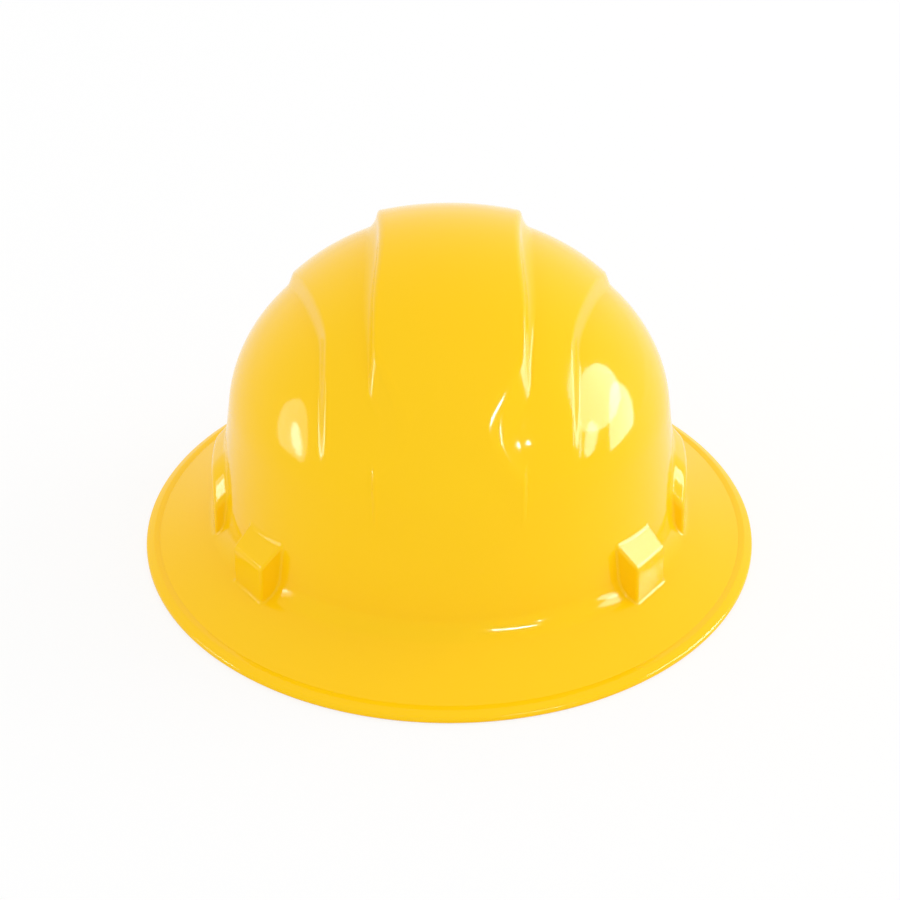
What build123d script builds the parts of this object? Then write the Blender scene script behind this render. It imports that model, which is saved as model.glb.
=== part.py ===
from build123d import *
from math import atan, atan2, cos, degrees, hypot, pi, radians, sin, sqrt, tan
import os

# Full brim hard hat with a ratchet suspension, in millimetres.
# The rim of the brim lies on the plane z = 0, the wearer faces -Y and the
# wearer's left is +X. The vertical through the middle of the rim is the Z axis.

# Shell: brim
brim_side_reach = 34.07         # from the dome's root to the edge, at the sides
brim_end_reach = 41.50          # the same in front and behind
brim_edge_height = 4.8          # top of the brim just inside the edge bead
brim_root_height = 17.6         # top of the brim where it meets the dome at the sides
brim_wall = 2.7
bead_width = 7.2                # rolled band along the edge
bead_height = 4.6
bead_shoulder_share = 0.62      # of its height, where its outside turns inwards
bead_radius = 1.4
bead_foot_width = 3.4           # flat ring that the hat rests on
groove_width = 1.2              # fine crease inside the bead
groove_depth = 0.6
brim_blend = 5.5                # concave fillet between dome and brim

# Shell: dome, a drafted wall that runs tangent into a quarter ellipse
dome_width = 200.4              # across the ellipse, at its foot
dome_length = 218.5
dome_spring_height = 66.6       # foot of the ellipse
dome_rise = 74.1                # from there to the apex of the side dome
dome_draft = 6.3                # degrees of the wall
shell_wall = 2.6

# Shell: raised panel over the shoulders of the dome
panel_lift = 8.65               # how much higher its apex is than the side dome's
panel_sink = 0.7                # how far the panel's form starts inside the side dome
panel_floor_lift = 9.4          # the panel's outline starts this far above the spring
panel_front_share = 0.552       # half widths, of half the dome's width
panel_wide_share = 0.731
panel_rear_share = 0.622
panel_narrow_share = 0.387      # places, of half the dome's length: in front, where it starts to widen
panel_start_share = 0.258       # behind the middle, from here
panel_end_share = 0.534         # to here, it is widest
panel_outline_blend = 45.0
panel_edge_radius = 2.4

# Shell: centre ridge
ridge_lift = 6.25               # how much higher its top is than the panel's
ridge_end_sink = 1.85           # how far its ends start inside the dome
ridge_top_half_width = 32.2
ridge_foot_half_width = 35.2
ridge_depth = 11.0              # depth of the ridge's section below its top
ridge_crown = 3.3               # rise of its top from edge to middle
ridge_edge_radius = 3.2
ridge_inner_radius_share = 0.4  # of the edge radius, kept where the wall would use it up
nose_yaw = 47.3                 # degrees, the flanks of the pointed ends
nose_tilt = 21.2
nose_half_width = 33.4          # where the taper's plane starts
nose_start_share = 0.6425       # of the ridge's half length, where it starts to taper
nose_start_drop = 7.0           # of the taper's outer corner below the ridge's top line

# Shell: the four key lugs on the outside of the dome
lug_normal_angle = 35.8         # degrees from the X axis
lug_width = 26.0
lug_reach = 9.2                 # how far it stands out of the dome at its foot
lug_shoulder_height = 31.5
lug_top_height = 41.8
lug_draft = 0.8                 # how much less it stands out at its shoulder
lug_root = 7.0                  # how far its block reaches into the dome
lug_edge_radius = 1.5
pocket_width = 17.0
pocket_depth = 6.4
pocket_top_height = 32.0

# Shell: accessory slot pockets on both sides
boss_half_length = 25.0
boss_reach = 2.86               # of its flat face, from the dome's root
boss_shoulder_height = 40.0
boss_top_height = 52.0
boss_root = 9.0
boss_inner_pad = 2.2            # thickness of the web between slot and head space
boss_edge_radius = 1.5
slot_length = 31.0
slot_gap = 4.6
slot_top_height = 41.0
slot_outer_wall = 1.9

# Suspension keys
key_fit = 0.3                   # clearance of a tab in its pocket and a tongue in its slot
key_tab_web = 2.4
key_tab_rib = 2.0
key_neck_width = 14.0
key_neck_thickness = 3.0
key_neck_height = 10.2          # underside of the neck
key_plate_width = 25.0
key_plate_thickness = 2.4
key_wall_gap = 4.0             # between the plate's top corners and the shell
key_plate_top = 52.0
key_corner_radius = 3.0
bar_height = 4.2                # bar at the top that carries the strap

# Crown straps
strap_width = 19.0
strap_thickness = 1.4
strap_fit = 0.3
crown_clearance = 41.8          # from the shell down to the lower strap's middle
strap_cross_gap = 0.35          # between the two straps where they cross
strap_slot_height = 2.2

# Headband
band_key_gap = 14.4             # between the band and a key's plate
band_front_gap = 5.6            # between the band and the shell in front
key_arm_gap = 5.0               # at least this much between a rear key's plate and the arms
band_thickness = 1.6
band_bottom = 6.0
band_height = 26.0
band_end_margin = 5.6           # of the front band, behind its stud
tongue_width = 14.0
tongue_thickness = 2.2
tongue_rise = 1.8               # gap between the band's edge and the tongue
tongue_overhang = 1.6           # how far it reaches through its key
vent_length = 9.0
vent_height = 3.4
vent_angle_step = 9.0
vent_count = 3

# Rack arms
arm_thickness = 1.6
arm_gap = 0.45                  # between the layers that slide on each other
arm_height = 21.0
lap_slot_height = 5.8
tighten_travel = 20.0           # along each arm
loosen_travel = 35.0
arm_end_web = 3.4               # arm left outside its window and its slot
arm_middle_web = 12.5           # arm left between them

# Rack and pinion
axis_height = 20.0
gear_module = 1.0
pinion_teeth = 10
addendum_share = 0.75
dedendum_share = 0.9
gear_backlash = 0.28
tooth_root_share = 1.15         # of the pinion tooth's thickness on its pitch circle
tooth_tip_share = 0.55
pressure_angle = 20.0
window_fit = 0.5

# Ratchet housing
housing_half_angle = 26.0
housing_plate = 2.5
housing_rail = 2.6
housing_fit = 0.3
stake_diameter = 3.2
stake_head_diameter = 4.8
stake_head_height = 0.9
stake_fit = 0.15
stake_edge_angle = 2.6          # degrees from the housing's end to a stake
cover_fit = 0.1                 # between the rails and the cover
journal_diameter = 4.4
journal_fit = 0.25
shaft_diameter = 7.0

# Knob
knob_wall_gap = 4.91            # between the knob and the shell
knob_diameter = 36.0
knob_thickness = 8.6
knob_gap = 0.35                 # between the cover and the knob
knob_lobes = 16
knob_scallop_diameter = 5.0
knob_scallop_depth = 1.1
knob_edge_chamfer = 0.8
knob_recess_depth = 2.4
detent_tip_radius = 11.4
detent_root_radius = 12.4
detent_teeth = 24
detent_notch_share = 1.2        # of the half pitch, taken by a tooth at its root
drive_across = 5.4              # square end of the pinion in the knob
drive_length = 3.2
drive_fit = 0.1

# Detent spring
spring_thickness = 1.1
spring_ring_width = 2.6
spring_fit = 0.25
spring_arm_width = 1.0
spring_arm_angle = 70.0
spring_bump_radius = 0.9

# Knob screw
screw_diameter = 2.6
screw_length = 5.6              # under the head
screw_head_diameter = 6.0
screw_head_height = 1.6
screw_head_recess = 2.2
screw_slot_width = 0.9
screw_slot_depth = 0.6

# Temple studs
stud_diameter = 5.0
stud_head_diameter = 9.4
stud_head_thickness = 1.3
stud_fit = 0.4
stud_pad_width = 11.0

# Pads
pad_fit = 0.3
brow_pad_thickness = 4.2
brow_pad_half_angle = 58.0
brow_pad_overlap = 1.4          # taller than the band at the top and the bottom
nape_pad_thickness = 4.0
nape_pad_half_angle = 25.0
nape_pad_height = 26.0
pad_crown_share = 0.45          # of the thickness, taken by the crown
pad_edge_radius = 1.0

overrun = 2.0                   # cutters stand this far past what they cut

# Sizes worked out from the driving ones: shell
dome_half = dome_width / 2
dome_share = dome_length / dome_width
draft_slope = tan(radians(dome_draft))
crown_turn = atan(draft_slope * dome_rise / dome_half)
wall_top_height = dome_spring_height + dome_rise * sin(crown_turn)
wall_top_half = dome_half * cos(crown_turn)
dome_root_half = wall_top_half + draft_slope * (wall_top_height - brim_root_height)
brim_half = dome_root_half + brim_side_reach
brim_share = (dome_root_half * dome_share + brim_end_reach) / brim_half
bead_inner = brim_half - bead_width
brim_slope = (brim_root_height - brim_edge_height) / (bead_inner - dome_root_half)
brim_drop = brim_wall * sqrt(1 + brim_slope ** 2)
panel_rise = dome_rise + panel_lift
ridge_rise = panel_rise + ridge_lift
ridge_half_length = dome_length / 2 - ridge_end_sink
hat_height = dome_spring_height + ridge_rise
nose_start_y = nose_start_share * ridge_half_length
nose_start_height = hat_height - ridge_rise * (1 - sqrt(1 - nose_start_share ** 2)) - nose_start_drop
boss_face = dome_root_half + boss_reach
lug_turn = atan(tan(radians(lug_normal_angle)) * dome_share)
lug_x = dome_root_half * cos(lug_turn)
lug_y = dome_root_half * dome_share * sin(lug_turn)


def inner_wall(angle, height):
    # Distance of the shell's inner wall from the Z axis, in one direction and at one level.
    across = wall_top_half + draft_slope * (wall_top_height - height) - shell_wall
    along = across * (dome_half * dome_share - shell_wall) / (dome_half - shell_wall)
    return 1 / hypot(cos(radians(angle)) / across, sin(radians(angle)) / along)


# Sizes worked out from the driving ones: suspension
key_angle = degrees(atan2(lug_y, lug_x))
key_wall = inner_wall(key_angle, key_plate_top)
key_plate_outer = key_wall - key_plate_width ** 2 / (8 * key_wall) - key_wall_gap
key_plate_radius = key_plate_outer - key_plate_thickness / 2
key_plate_inner = key_plate_outer - key_plate_thickness
strap_top_height = hat_height - shell_wall - crown_clearance
band_side_radius = key_plate_inner - band_key_gap - band_thickness
band_top = band_bottom + band_height
tongue_bottom = band_top + tongue_rise
layer_inner = band_side_radius + band_thickness + arm_gap
layer_step = arm_thickness + arm_gap
pinion_pitch_radius = gear_module * pinion_teeth / 2
pinion_tip_radius = pinion_pitch_radius + gear_module * addendum_share
stud_room = stud_diameter / 2 + stud_fit
pinion_room = pinion_tip_radius + window_fit
stud_distance = tighten_travel + loosen_travel + pinion_room + arm_middle_web + stud_room
stud_angle = 90 - degrees(stud_distance / (layer_inner + arm_thickness / 2))
channel_outer = layer_inner + layer_step + arm_thickness
cover_inner = channel_outer + housing_fit + cover_fit
cover_outer = cover_inner + housing_plate
housing_outer = layer_inner - housing_fit
housing_inner = housing_outer - housing_plate
knob_inner = cover_outer + knob_gap
knob_outer = knob_inner + knob_thickness

# Centre of the round rear half of the headband: the knob clears the shell and
# the arms clear the inner rear corners of the rear keys' plates.
key_corner_x = key_plate_inner * cos(radians(key_angle)) - key_plate_width / 2 * sin(radians(key_angle))
key_corner_y = key_plate_inner * sin(radians(key_angle)) + key_plate_width / 2 * cos(radians(key_angle))
arm_reach = channel_outer + key_arm_gap
knob_centre_y = inner_wall(90, axis_height + knob_diameter / 2) - knob_wall_gap - knob_outer
key_centre_y = key_corner_y - sqrt(arm_reach ** 2 - key_corner_x ** 2)
head_centre_y = min(knob_centre_y, key_centre_y)
band_front_reach = inner_wall(90, band_top) + head_centre_y - band_front_gap - band_thickness


def tongue_start(along_x, along_y, radius_x, radius_y):
    # Distance from the Z axis to the middle of the band, along a key's direction.
    a = (along_x / radius_x) ** 2 + (along_y / radius_y) ** 2
    b = -2 * head_centre_y * along_y / radius_y ** 2
    c = (head_centre_y / radius_y) ** 2 - 1
    return (-b + sqrt(b ** 2 - 4 * a * c)) / (2 * a)


# The front band ends behind its studs and its rear tongues.
band_middle_radius = band_side_radius + band_thickness / 2
key_x = cos(radians(key_angle))
key_y = sin(radians(key_angle))
front_tongue_start = tongue_start(key_x, -key_y, band_middle_radius, band_front_reach + band_thickness / 2)
rear_tongue_start = tongue_start(key_x, key_y, band_middle_radius, band_middle_radius)
tongue_angle = degrees(atan2(rear_tongue_start * key_y - head_centre_y, rear_tongue_start * key_x))
band_end_angle = max(stud_angle + degrees(band_end_margin / band_side_radius),
                     tongue_angle + degrees(tongue_width / 2 / band_side_radius))


def dome_profile(shrink, rise, half, foot):
    # Half section of the dome: drafted wall, tangent to the ellipse of the crown.
    wide = half - shrink
    high = rise - shrink
    turn = degrees(atan(draft_slope * high / wide))
    crown = EllipticalCenterArc((0, dome_spring_height), wide, high, start_angle=turn, arc_size=90 - turn)
    wall_top = crown @ 0
    wall_foot = wall_top.X + draft_slope * (wall_top.Y - foot)
    wall = Line((wall_foot, foot), wall_top)
    axis_line = Line(crown @ 1, (0, foot))
    floor = Line((0, foot), (wall_foot, foot))
    return Plane.XZ * make_face(Curve() + [wall, crown, axis_line, floor])


def dome_solid(shrink, rise, half, foot):
    # Round dome, drawn out along Y into the oval plan of the shell.
    face = dome_profile(shrink, rise, half, foot)
    length_share = (half * dome_share - shrink) / (half - shrink)
    return scale(revolve(face, Axis.Z), by=(1, length_share, 1))


def panel_outline(inset):
    # Plan of the raised panel, narrow in front and wide behind the middle.
    front_half = panel_front_share * dome_half - inset
    wide_half = panel_wide_share * dome_half - inset
    half_length = dome_length / 2
    right_side = [
        (front_half, -dome_length),
        (front_half, -panel_narrow_share * half_length),
        (wide_half, panel_start_share * half_length),
        (wide_half, panel_end_share * half_length),
        (panel_rear_share * dome_half - inset, dome_length),
    ]
    left_side = [(-x, y) for x, y in reversed(right_side)]
    face = make_face(Polyline(*right_side, *left_side, close=True))
    inner = [v for v in face.vertices() if abs(v.Y) < dome_length / 2]
    return fillet(inner, panel_outline_blend)


def panel_solid(shrink):
    # Raised form over the shoulders, which fades out towards the forehead.
    body = dome_solid(shrink, panel_rise, dome_half - panel_sink, 0)
    prism = extrude(panel_outline(shrink), hat_height)
    floor_height = dome_spring_height + panel_floor_lift
    body = body & Pos(0, 0, floor_height) * prism
    edges = [e for e in body.edges() if e.center().Z > floor_height + panel_edge_radius]
    return fillet(edges, panel_edge_radius)


def ridge_section(shrink):
    # Cross section of the ridge, its crowned top at the height zero.
    top = ridge_top_half_width - shrink
    foot = ridge_foot_half_width - shrink
    edge = -ridge_crown - shrink
    base = -ridge_depth - shrink
    crown = ThreePointArc((-top, edge), (0, -shrink), (top, edge))
    sides = Polyline((top, edge), (foot, base), (-foot, base), (-top, edge))
    face = make_face(Curve() + [crown, sides])
    corners = [v for v in face.vertices() if v.Y > base / 2]
    return fillet(corners, max(ridge_edge_radius - shrink, ridge_edge_radius * ridge_inner_radius_share))


def nose_cut(side, end, shrink):
    # Block outside one slanting flank of a pointed ridge end.
    size = hat_height
    block = Pos(size / 2, 0, 0) * Box(size, 2 * size, 2 * size)
    start = Pos(nose_half_width, -nose_start_y, nose_start_height)
    turned = start * Rot(0, 0, -nose_yaw) * Rot(0, -nose_tilt, 0) * Pos(-shrink, 0, 0) * block
    if side < 0:
        turned = mirror(turned, Plane.YZ)
    if end > 0:
        turned = mirror(turned, Plane.XZ)
    return turned


def ridge_solid(shrink):
    # The section swept over the crown, with both ends drawn to a point.
    path = Plane.YZ * EllipticalCenterArc(
        (0, dome_spring_height), ridge_half_length, ridge_rise, start_angle=0, arc_size=180)
    start = Plane(origin=path @ 0, x_dir=(1, 0, 0), z_dir=path % 0)
    body = sweep(start * ridge_section(shrink), path)
    for side in (-1, 1):
        for end in (-1, 1):
            body -= nose_cut(side, end, shrink)
    return body


def brim_solid():
    # Ring of the brim with its crease and its rolled edge, solid down to z = 0.
    inside = dome_half - shell_wall - overrun
    top_inside = brim_root_height + brim_slope * (dome_root_half - inside)
    groove_outer = bead_inner + groove_width
    outline = Polyline(
        (inside, 0),
        (brim_half, 0),
        (brim_half, bead_shoulder_share * bead_height),
        (brim_half - bead_width / 2, bead_height),
        (groove_outer, bead_height),
        ((bead_inner + groove_outer) / 2, brim_edge_height - groove_depth),
        (bead_inner, brim_edge_height),
        (inside, top_inside),
        close=True)
    face = make_face(Plane.XZ * outline)
    rounded = [v for v in face.vertices() if v.X > bead_inner + bead_width / 3]
    face = fillet(rounded, bead_radius)
    return scale(revolve(face, Axis.Z), by=(1, brim_share, 1))


def under_brim():
    # Space under the brim, from the bead inwards.
    foot = brim_half - bead_radius - bead_foot_width
    rise_start = brim_edge_height - brim_drop
    slope_foot = bead_inner - overrun / 2
    inside = dome_half - shell_wall - lug_root
    top_foot = brim_root_height - brim_drop + brim_slope * (dome_root_half - slope_foot)
    top_inside = brim_root_height - brim_drop + brim_slope * (dome_root_half - inside)
    outline = Polyline(
        (0, -overrun), (foot, -overrun), (foot, 0),
        (slope_foot, max(top_foot, rise_start)), (inside, top_inside), (0, top_inside), close=True)
    face = make_face(Plane.XZ * outline)
    return scale(revolve(face, Axis.Z), by=(1, brim_share, 1))


def lug_place():
    # Frame of the front left lug: X outwards, Y along the dome, Z up.
    return Pos(lug_x, -lug_y, 0) * Rot(0, 0, -lug_normal_angle)


def lug_block():
    # Boxy boss with a curved sloping top.
    shoulder = lug_reach - lug_draft
    front = Line((lug_reach, 0), (shoulder, lug_shoulder_height))
    slope = ThreePointArc(
        (shoulder, lug_shoulder_height),
        (shoulder / 2 + lug_draft, (lug_shoulder_height + lug_top_height) / 2 + lug_draft),
        (-lug_draft, lug_top_height))
    back = Polyline((-lug_draft, lug_top_height), (-lug_root, lug_top_height), (-lug_root, 0), (lug_reach, 0))
    face = Plane.XZ * make_face(Curve() + [front, slope, back])
    block = extrude(face, lug_width / 2, both=True)
    edges = [e for e in block.edges() if e.center().X > -lug_draft and e.center().Z > 0]
    return fillet(edges, lug_edge_radius)


def key_pocket():
    height = pocket_top_height + overrun
    box = Box(pocket_depth, pocket_width, height, align=(Align.MIN, Align.CENTER, Align.MIN))
    return Pos(0, 0, -overrun) * box


def boss_block():
    # Flat faced pocket for an accessory, on the wearer's left.
    inner = boss_face - boss_root
    face = make_face(Plane.XZ * Polyline(
        (inner, 0), (boss_face, 0), (boss_face, boss_shoulder_height),
        (inner, boss_top_height), close=True))
    block = extrude(face, boss_half_length, both=True)
    edges = [e for e in block.edges() if e.center().X > inner + overrun and e.center().Z > 0]
    return fillet(edges, boss_edge_radius)


def boss_web():
    # Web that closes the slot towards the head.
    outer = boss_face - slot_outer_wall
    inner = outer - slot_gap - boss_inner_pad
    size = (outer - inner, slot_length + 2 * boss_inner_pad, slot_top_height + boss_inner_pad)
    return Pos(inner, 0, 0) * Box(*size, align=(Align.MIN, Align.CENTER, Align.MIN))


def accessory_slot():
    outer = boss_face - slot_outer_wall
    box = Box(slot_gap, slot_length, slot_top_height + overrun, align=(Align.MAX, Align.CENTER, Align.MIN))
    return Pos(outer, 0, -overrun) * box


def all_corners(piece):
    # The piece at the front left, front right, rear left and rear right.
    return [piece, mirror(piece, Plane.YZ), mirror(piece, Plane.XZ), Rot(0, 0, 180) * piece]


def both_sides(piece):
    return [piece, mirror(piece, Plane.YZ)]


def shell():
    # Moulded shell: everything above it as one form, hollowed from below.
    outer = dome_solid(0, dome_rise, dome_half, 0)
    brim = brim_solid()
    body = outer + brim
    seam = [e for e in body.edges() if abs(e.center().Z - brim_root_height) < brim_wall
            and e.length > dome_width / 2]
    body = fillet(seam, brim_blend)
    body += panel_solid(0)
    body += ridge_solid(0)
    for block in all_corners(lug_place() * lug_block()):
        body += block
    for block in both_sides(boss_block()):
        body += block
    cavity = dome_solid(shell_wall, dome_rise, dome_half, -overrun)
    for web in both_sides(boss_web()):
        cavity -= web
    body -= cavity
    body -= panel_solid(shell_wall)
    body -= ridge_solid(shell_wall)
    body -= under_brim()
    for pocket in all_corners(lug_place() * key_pocket()):
        body -= pocket
    for slot in both_sides(accessory_slot()):
        body -= slot
    return body


def radial_box(inner, outer, width, bottom, top):
    # Box along the local X axis, centred on it.
    size = (outer - inner, width, top - bottom)
    return Pos(inner, 0, bottom) * Box(*size, align=(Align.MIN, Align.CENTER, Align.MIN))


def suspension_key():
    # Front left key: tab in the lug, neck under the wall, plate inside.
    neck_top = key_neck_height + key_neck_thickness
    turn = Rot(0, 0, -key_angle)
    plate = radial_box(key_plate_inner, key_plate_outer, key_plate_width, key_neck_height, key_plate_top)
    plate = fillet(plate.edges().filter_by(Axis.X), key_corner_radius)
    slot_top = key_plate_top - bar_height
    strap_slot = radial_box(key_plate_inner - overrun, key_plate_outer + overrun, strap_width + 2 * strap_fit,
                            slot_top - strap_slot_height, slot_top)
    tongue_slot = radial_box(key_plate_inner - overrun, key_plate_outer + overrun, tongue_width + 2 * key_fit,
                             tongue_bottom - key_fit, tongue_bottom + tongue_thickness + key_fit)
    plate = plate - strap_slot - tongue_slot
    lug_radius = hypot(lug_x, lug_y)
    neck = radial_box(key_plate_inner, lug_radius + key_tab_web, key_neck_width, key_neck_height, neck_top)
    tab_width = pocket_width - 2 * key_fit
    tab_outer = pocket_depth - key_fit
    tab_top = pocket_top_height - key_fit
    tab = radial_box(key_fit, key_fit + key_tab_web, tab_width, key_neck_height, tab_top)
    for side in (-1, 1):
        rib = radial_box(key_fit, tab_outer, key_tab_rib, key_neck_height, tab_top - key_tab_rib)
        tab += Pos(0, side * (tab_width - key_tab_rib) / 2, 0) * rib
    tab += radial_box(key_fit, tab_outer, tab_width, key_neck_height, neck_top)
    return turn * (plate + neck) + lug_place() * tab


def crown_strap(lift):
    # Webbing in one diagonal plane, looped round the bars of two keys.
    bar_middle = key_plate_top - bar_height / 2
    loop_gap_x = key_plate_thickness + 2 * strap_fit
    loop_gap_z = bar_height + 2 * strap_fit
    rise = strap_top_height + lift - bar_middle
    outer = Ellipse(key_plate_radius + strap_thickness / 2, rise + strap_thickness / 2)
    inner = Ellipse(key_plate_radius - strap_thickness / 2, rise - strap_thickness / 2)
    keep = Pos(0, loop_gap_z / 2 + rise) * Rectangle(3 * key_plate_radius, 2 * rise)
    arch = (outer - inner) & keep
    for side in (-1, 1):
        loop = RectangleRounded(loop_gap_x + 2 * strap_thickness, loop_gap_z + 2 * strap_thickness,
                                strap_thickness)
        loop -= RectangleRounded(loop_gap_x, loop_gap_z, strap_fit)
        arch += Pos(side * key_plate_radius, 0) * loop
    solid = extrude(Plane.XZ * (Pos(0, bar_middle) * arch), strap_width / 2, both=True)
    return Rot(0, 0, -key_angle) * solid


def ring_sector(inner, outer, bottom, top, start, end):
    # Piece of a ring about the vertical through the headband's centre.
    middle = (inner + outer) / 2
    face = Plane.XZ * (Pos(middle, (bottom + top) / 2) * Rectangle(outer - inner, top - bottom))
    solid = revolve(face, Axis.Z, end - start)
    return Pos(0, head_centre_y, 0) * Rot(0, 0, start) * solid


def band_front(bottom, top):
    # Front half of the band, half an ellipse in plan.
    outer = Ellipse(band_side_radius + band_thickness, band_front_reach + band_thickness)
    inner = Ellipse(band_side_radius, band_front_reach)
    half = Pos(0, -band_front_reach) * Rectangle(4 * band_side_radius, 2 * band_front_reach)
    face = (outer - inner) & half
    return Pos(0, head_centre_y, bottom) * extrude(face, top - bottom)


def band_rear(bottom, top):
    # The ends of the band behind the temples, round about the same centre.
    outer = band_side_radius + band_thickness
    left = ring_sector(band_side_radius, outer, bottom, top, 0, band_end_angle)
    return left + mirror(left, Plane.YZ)


def headband():
    # Front band with four tongues that hang it from the keys.
    band = band_front(band_bottom, band_top) + band_rear(band_bottom, band_top)
    tongue_top = tongue_bottom + tongue_thickness
    tall_front = band_front(band_bottom, tongue_top)
    tall_rear = band_rear(band_bottom, tongue_top)
    reach = key_plate_outer + tongue_overhang
    inside = band_side_radius
    column = radial_box(inside, reach, tongue_width, band_bottom, tongue_top)
    front_left = Rot(0, 0, -key_angle) * column
    rear_left = Rot(0, 0, key_angle) * column
    for place in both_sides(front_left):
        band += tall_front & place
    for place in both_sides(rear_left):
        band += tall_rear & place
    front_tongue = radial_box(front_tongue_start, reach, tongue_width, tongue_bottom, tongue_top)
    rear_tongue = radial_box(rear_tongue_start, reach, tongue_width, tongue_bottom, tongue_top)
    for place in both_sides(Rot(0, 0, -key_angle) * front_tongue):
        band += place
    for place in both_sides(Rot(0, 0, key_angle) * rear_tongue):
        band += place
    band += right_stud_pad()
    for angle in vent_angles():
        vent = radial_box(band_side_radius - overrun, band_side_radius + band_thickness + overrun,
                          vent_length, axis_height - vent_height / 2, axis_height + vent_height / 2)
        for cut in both_sides(Pos(0, head_centre_y, 0) * Rot(0, 0, angle) * vent):
            band -= cut
    for hole in both_sides(stud_shape(stud_diameter + stud_fit / 2, band_side_radius - overrun,
                                      cover_inner)):
        band -= hole
    return band


def vent_angles():
    return [-vent_angle_step * index for index in range(vent_count)]


def pin_along(diameter, length):
    # Round pin from the origin up.
    return Cylinder(diameter / 2, length, align=(Align.CENTER, Align.CENTER, Align.MIN))


def stud_shape(diameter, inner, outer):
    # Round pin through the left temple, pointing outwards from the head.
    pin = Rot(0, 90, 0) * pin_along(diameter, outer - inner)
    return Pos(0, head_centre_y, axis_height) * Rot(0, 0, stud_angle) * Pos(inner, 0, 0) * pin


def right_stud_pad():
    # Thick pad under the right stud, because the right arm lies one layer out.
    outer = layer_inner + layer_step - arm_gap
    half = degrees(stud_pad_width / 2 / band_side_radius)
    pad = ring_sector(band_side_radius + band_thickness / 2, outer, band_bottom + arm_gap,
                      band_top - arm_gap, stud_angle - half, band_end_angle)
    return mirror(pad, Plane.YZ)


def temple_stud(layer):
    # Press stud through the lap slot of the arm in one layer, drawn on the left side.
    top = layer_inner + layer * layer_step + arm_thickness + arm_gap
    pin = stud_shape(stud_diameter, band_side_radius, top)
    head = stud_shape(stud_head_diameter, top, top + stud_head_thickness)
    outwards = Axis((0, head_centre_y, 0), (cos(radians(stud_angle)), sin(radians(stud_angle)), 0))
    head = fillet(head.edges().group_by(outwards)[-1], stud_head_thickness / 2)
    return pin + head


def arm_body(layer):
    # One arm of the left side with its lap slot and the window for the rack.
    inner = layer_inner + layer * layer_step
    outer = inner + arm_thickness
    radius = (inner + outer) / 2
    bottom = axis_height - arm_height / 2
    top = axis_height + arm_height / 2
    tighten = degrees(tighten_travel / radius)
    loosen = degrees(loosen_travel / radius)
    stud_turn = degrees(stud_room / radius)
    pinion_turn = degrees(pinion_room / radius)
    web = degrees(arm_end_web / radius)
    slot_start = stud_angle - tighten - stud_turn
    slot_end = stud_angle + loosen + stud_turn
    window_start = 90 - tighten - pinion_turn
    window_end = 90 + loosen + pinion_turn
    arm = ring_sector(inner, outer, bottom, top, slot_start - web, window_end + web)
    arm -= ring_sector(inner - overrun, outer + overrun, axis_height - lap_slot_height / 2,
                       axis_height + lap_slot_height / 2, slot_start, slot_end)
    plain_edge = axis_height - pinion_tip_radius - window_fit
    tooth_root = axis_height + pinion_pitch_radius + gear_module * dedendum_share
    arm -= ring_sector(inner - overrun, outer + overrun, plain_edge, tooth_root, window_start, window_end)
    pitch = pi * gear_module
    count = int((tighten_travel + loosen_travel + 2 * pinion_tip_radius) / pitch / 2)
    middle = degrees((loosen_travel - tighten_travel) / 2 / radius)
    first = round(radians(middle) * radius / pitch)
    for index in range(first - count, first + count):
        angle = 90 + degrees((index + 0.5) * pitch / radius)
        tooth = rack_tooth(inner, outer)
        arm += Pos(0, head_centre_y, 0) * Rot(0, 0, angle) * tooth
    return arm


def rack_tooth(inner, outer):
    # One tooth of the rack, hanging down from the upper edge of the window.
    pitch_height = axis_height + pinion_pitch_radius
    half = (pi * gear_module - gear_backlash * 2) / 4
    lean = tan(radians(pressure_angle)) * gear_module
    root = pitch_height + gear_module * dedendum_share
    tip = pitch_height - gear_module * addendum_share
    root_half = half + lean * dedendum_share
    tip_half = half - lean * addendum_share
    sink = gear_module * dedendum_share
    outline = Polyline((-root_half, root + sink), (-root_half, root), (-tip_half, tip), (tip_half, tip),
                       (root_half, root), (root_half, root + sink), close=True)
    face = make_face(Plane.YZ * outline)
    return Pos(inner, 0, 0) * extrude(face, outer - inner, dir=(1, 0, 0))


def left_arm():
    return arm_body(0)


def right_arm():
    # The same arm one layer out, on the other side and with its rack below.
    return Pos(0, 0, axis_height) * Rot(0, 180, 0) * Pos(0, 0, -axis_height) * arm_body(1)


def shaft(diameter, inner, outer):
    # Cylinder on the pinion's axis, between two distances from the centre.
    pin = Rot(-90, 0, 0) * pin_along(diameter, outer - inner)
    return Pos(0, head_centre_y + inner, axis_height) * pin


def pinion():
    # Toothed shaft that drives both arms and carries the knob.
    root_radius = pinion_pitch_radius - gear_module * dedendum_share
    half = (pi * gear_module - gear_backlash * 2) / 4
    root_half = half * tooth_root_share
    tip_half = half * tooth_tip_share
    blank = Circle(root_radius)
    outline = Polyline((-root_half, 0), (-root_half, root_radius), (-half, pinion_pitch_radius),
                       (-tip_half, pinion_tip_radius), (tip_half, pinion_tip_radius),
                       (half, pinion_pitch_radius), (root_half, root_radius), (root_half, 0), close=True)
    tooth = make_face(outline)
    for index in range(pinion_teeth):
        blank += Rot(0, 0, 360 / pinion_teeth * index) * tooth
    toothed_inner = layer_inner
    toothed_outer = channel_outer
    body = extrude(blank, toothed_outer - toothed_inner)
    body = Pos(0, head_centre_y + toothed_inner, axis_height) * Rot(-90, 0, 0) * body
    body += shaft(journal_diameter, housing_inner, toothed_inner)
    drive_start = knob_inner + knob_recess_depth
    body += shaft(shaft_diameter, toothed_outer, drive_start)
    drive = Box(drive_across, drive_length, drive_across, align=(Align.CENTER, Align.MIN, Align.CENTER))
    body += Pos(0, head_centre_y + drive_start, axis_height) * drive
    screw_end = knob_outer - screw_head_recess - screw_length
    return body - shaft(screw_diameter, screw_end - drive_fit, drive_start + drive_length + overrun)


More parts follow.
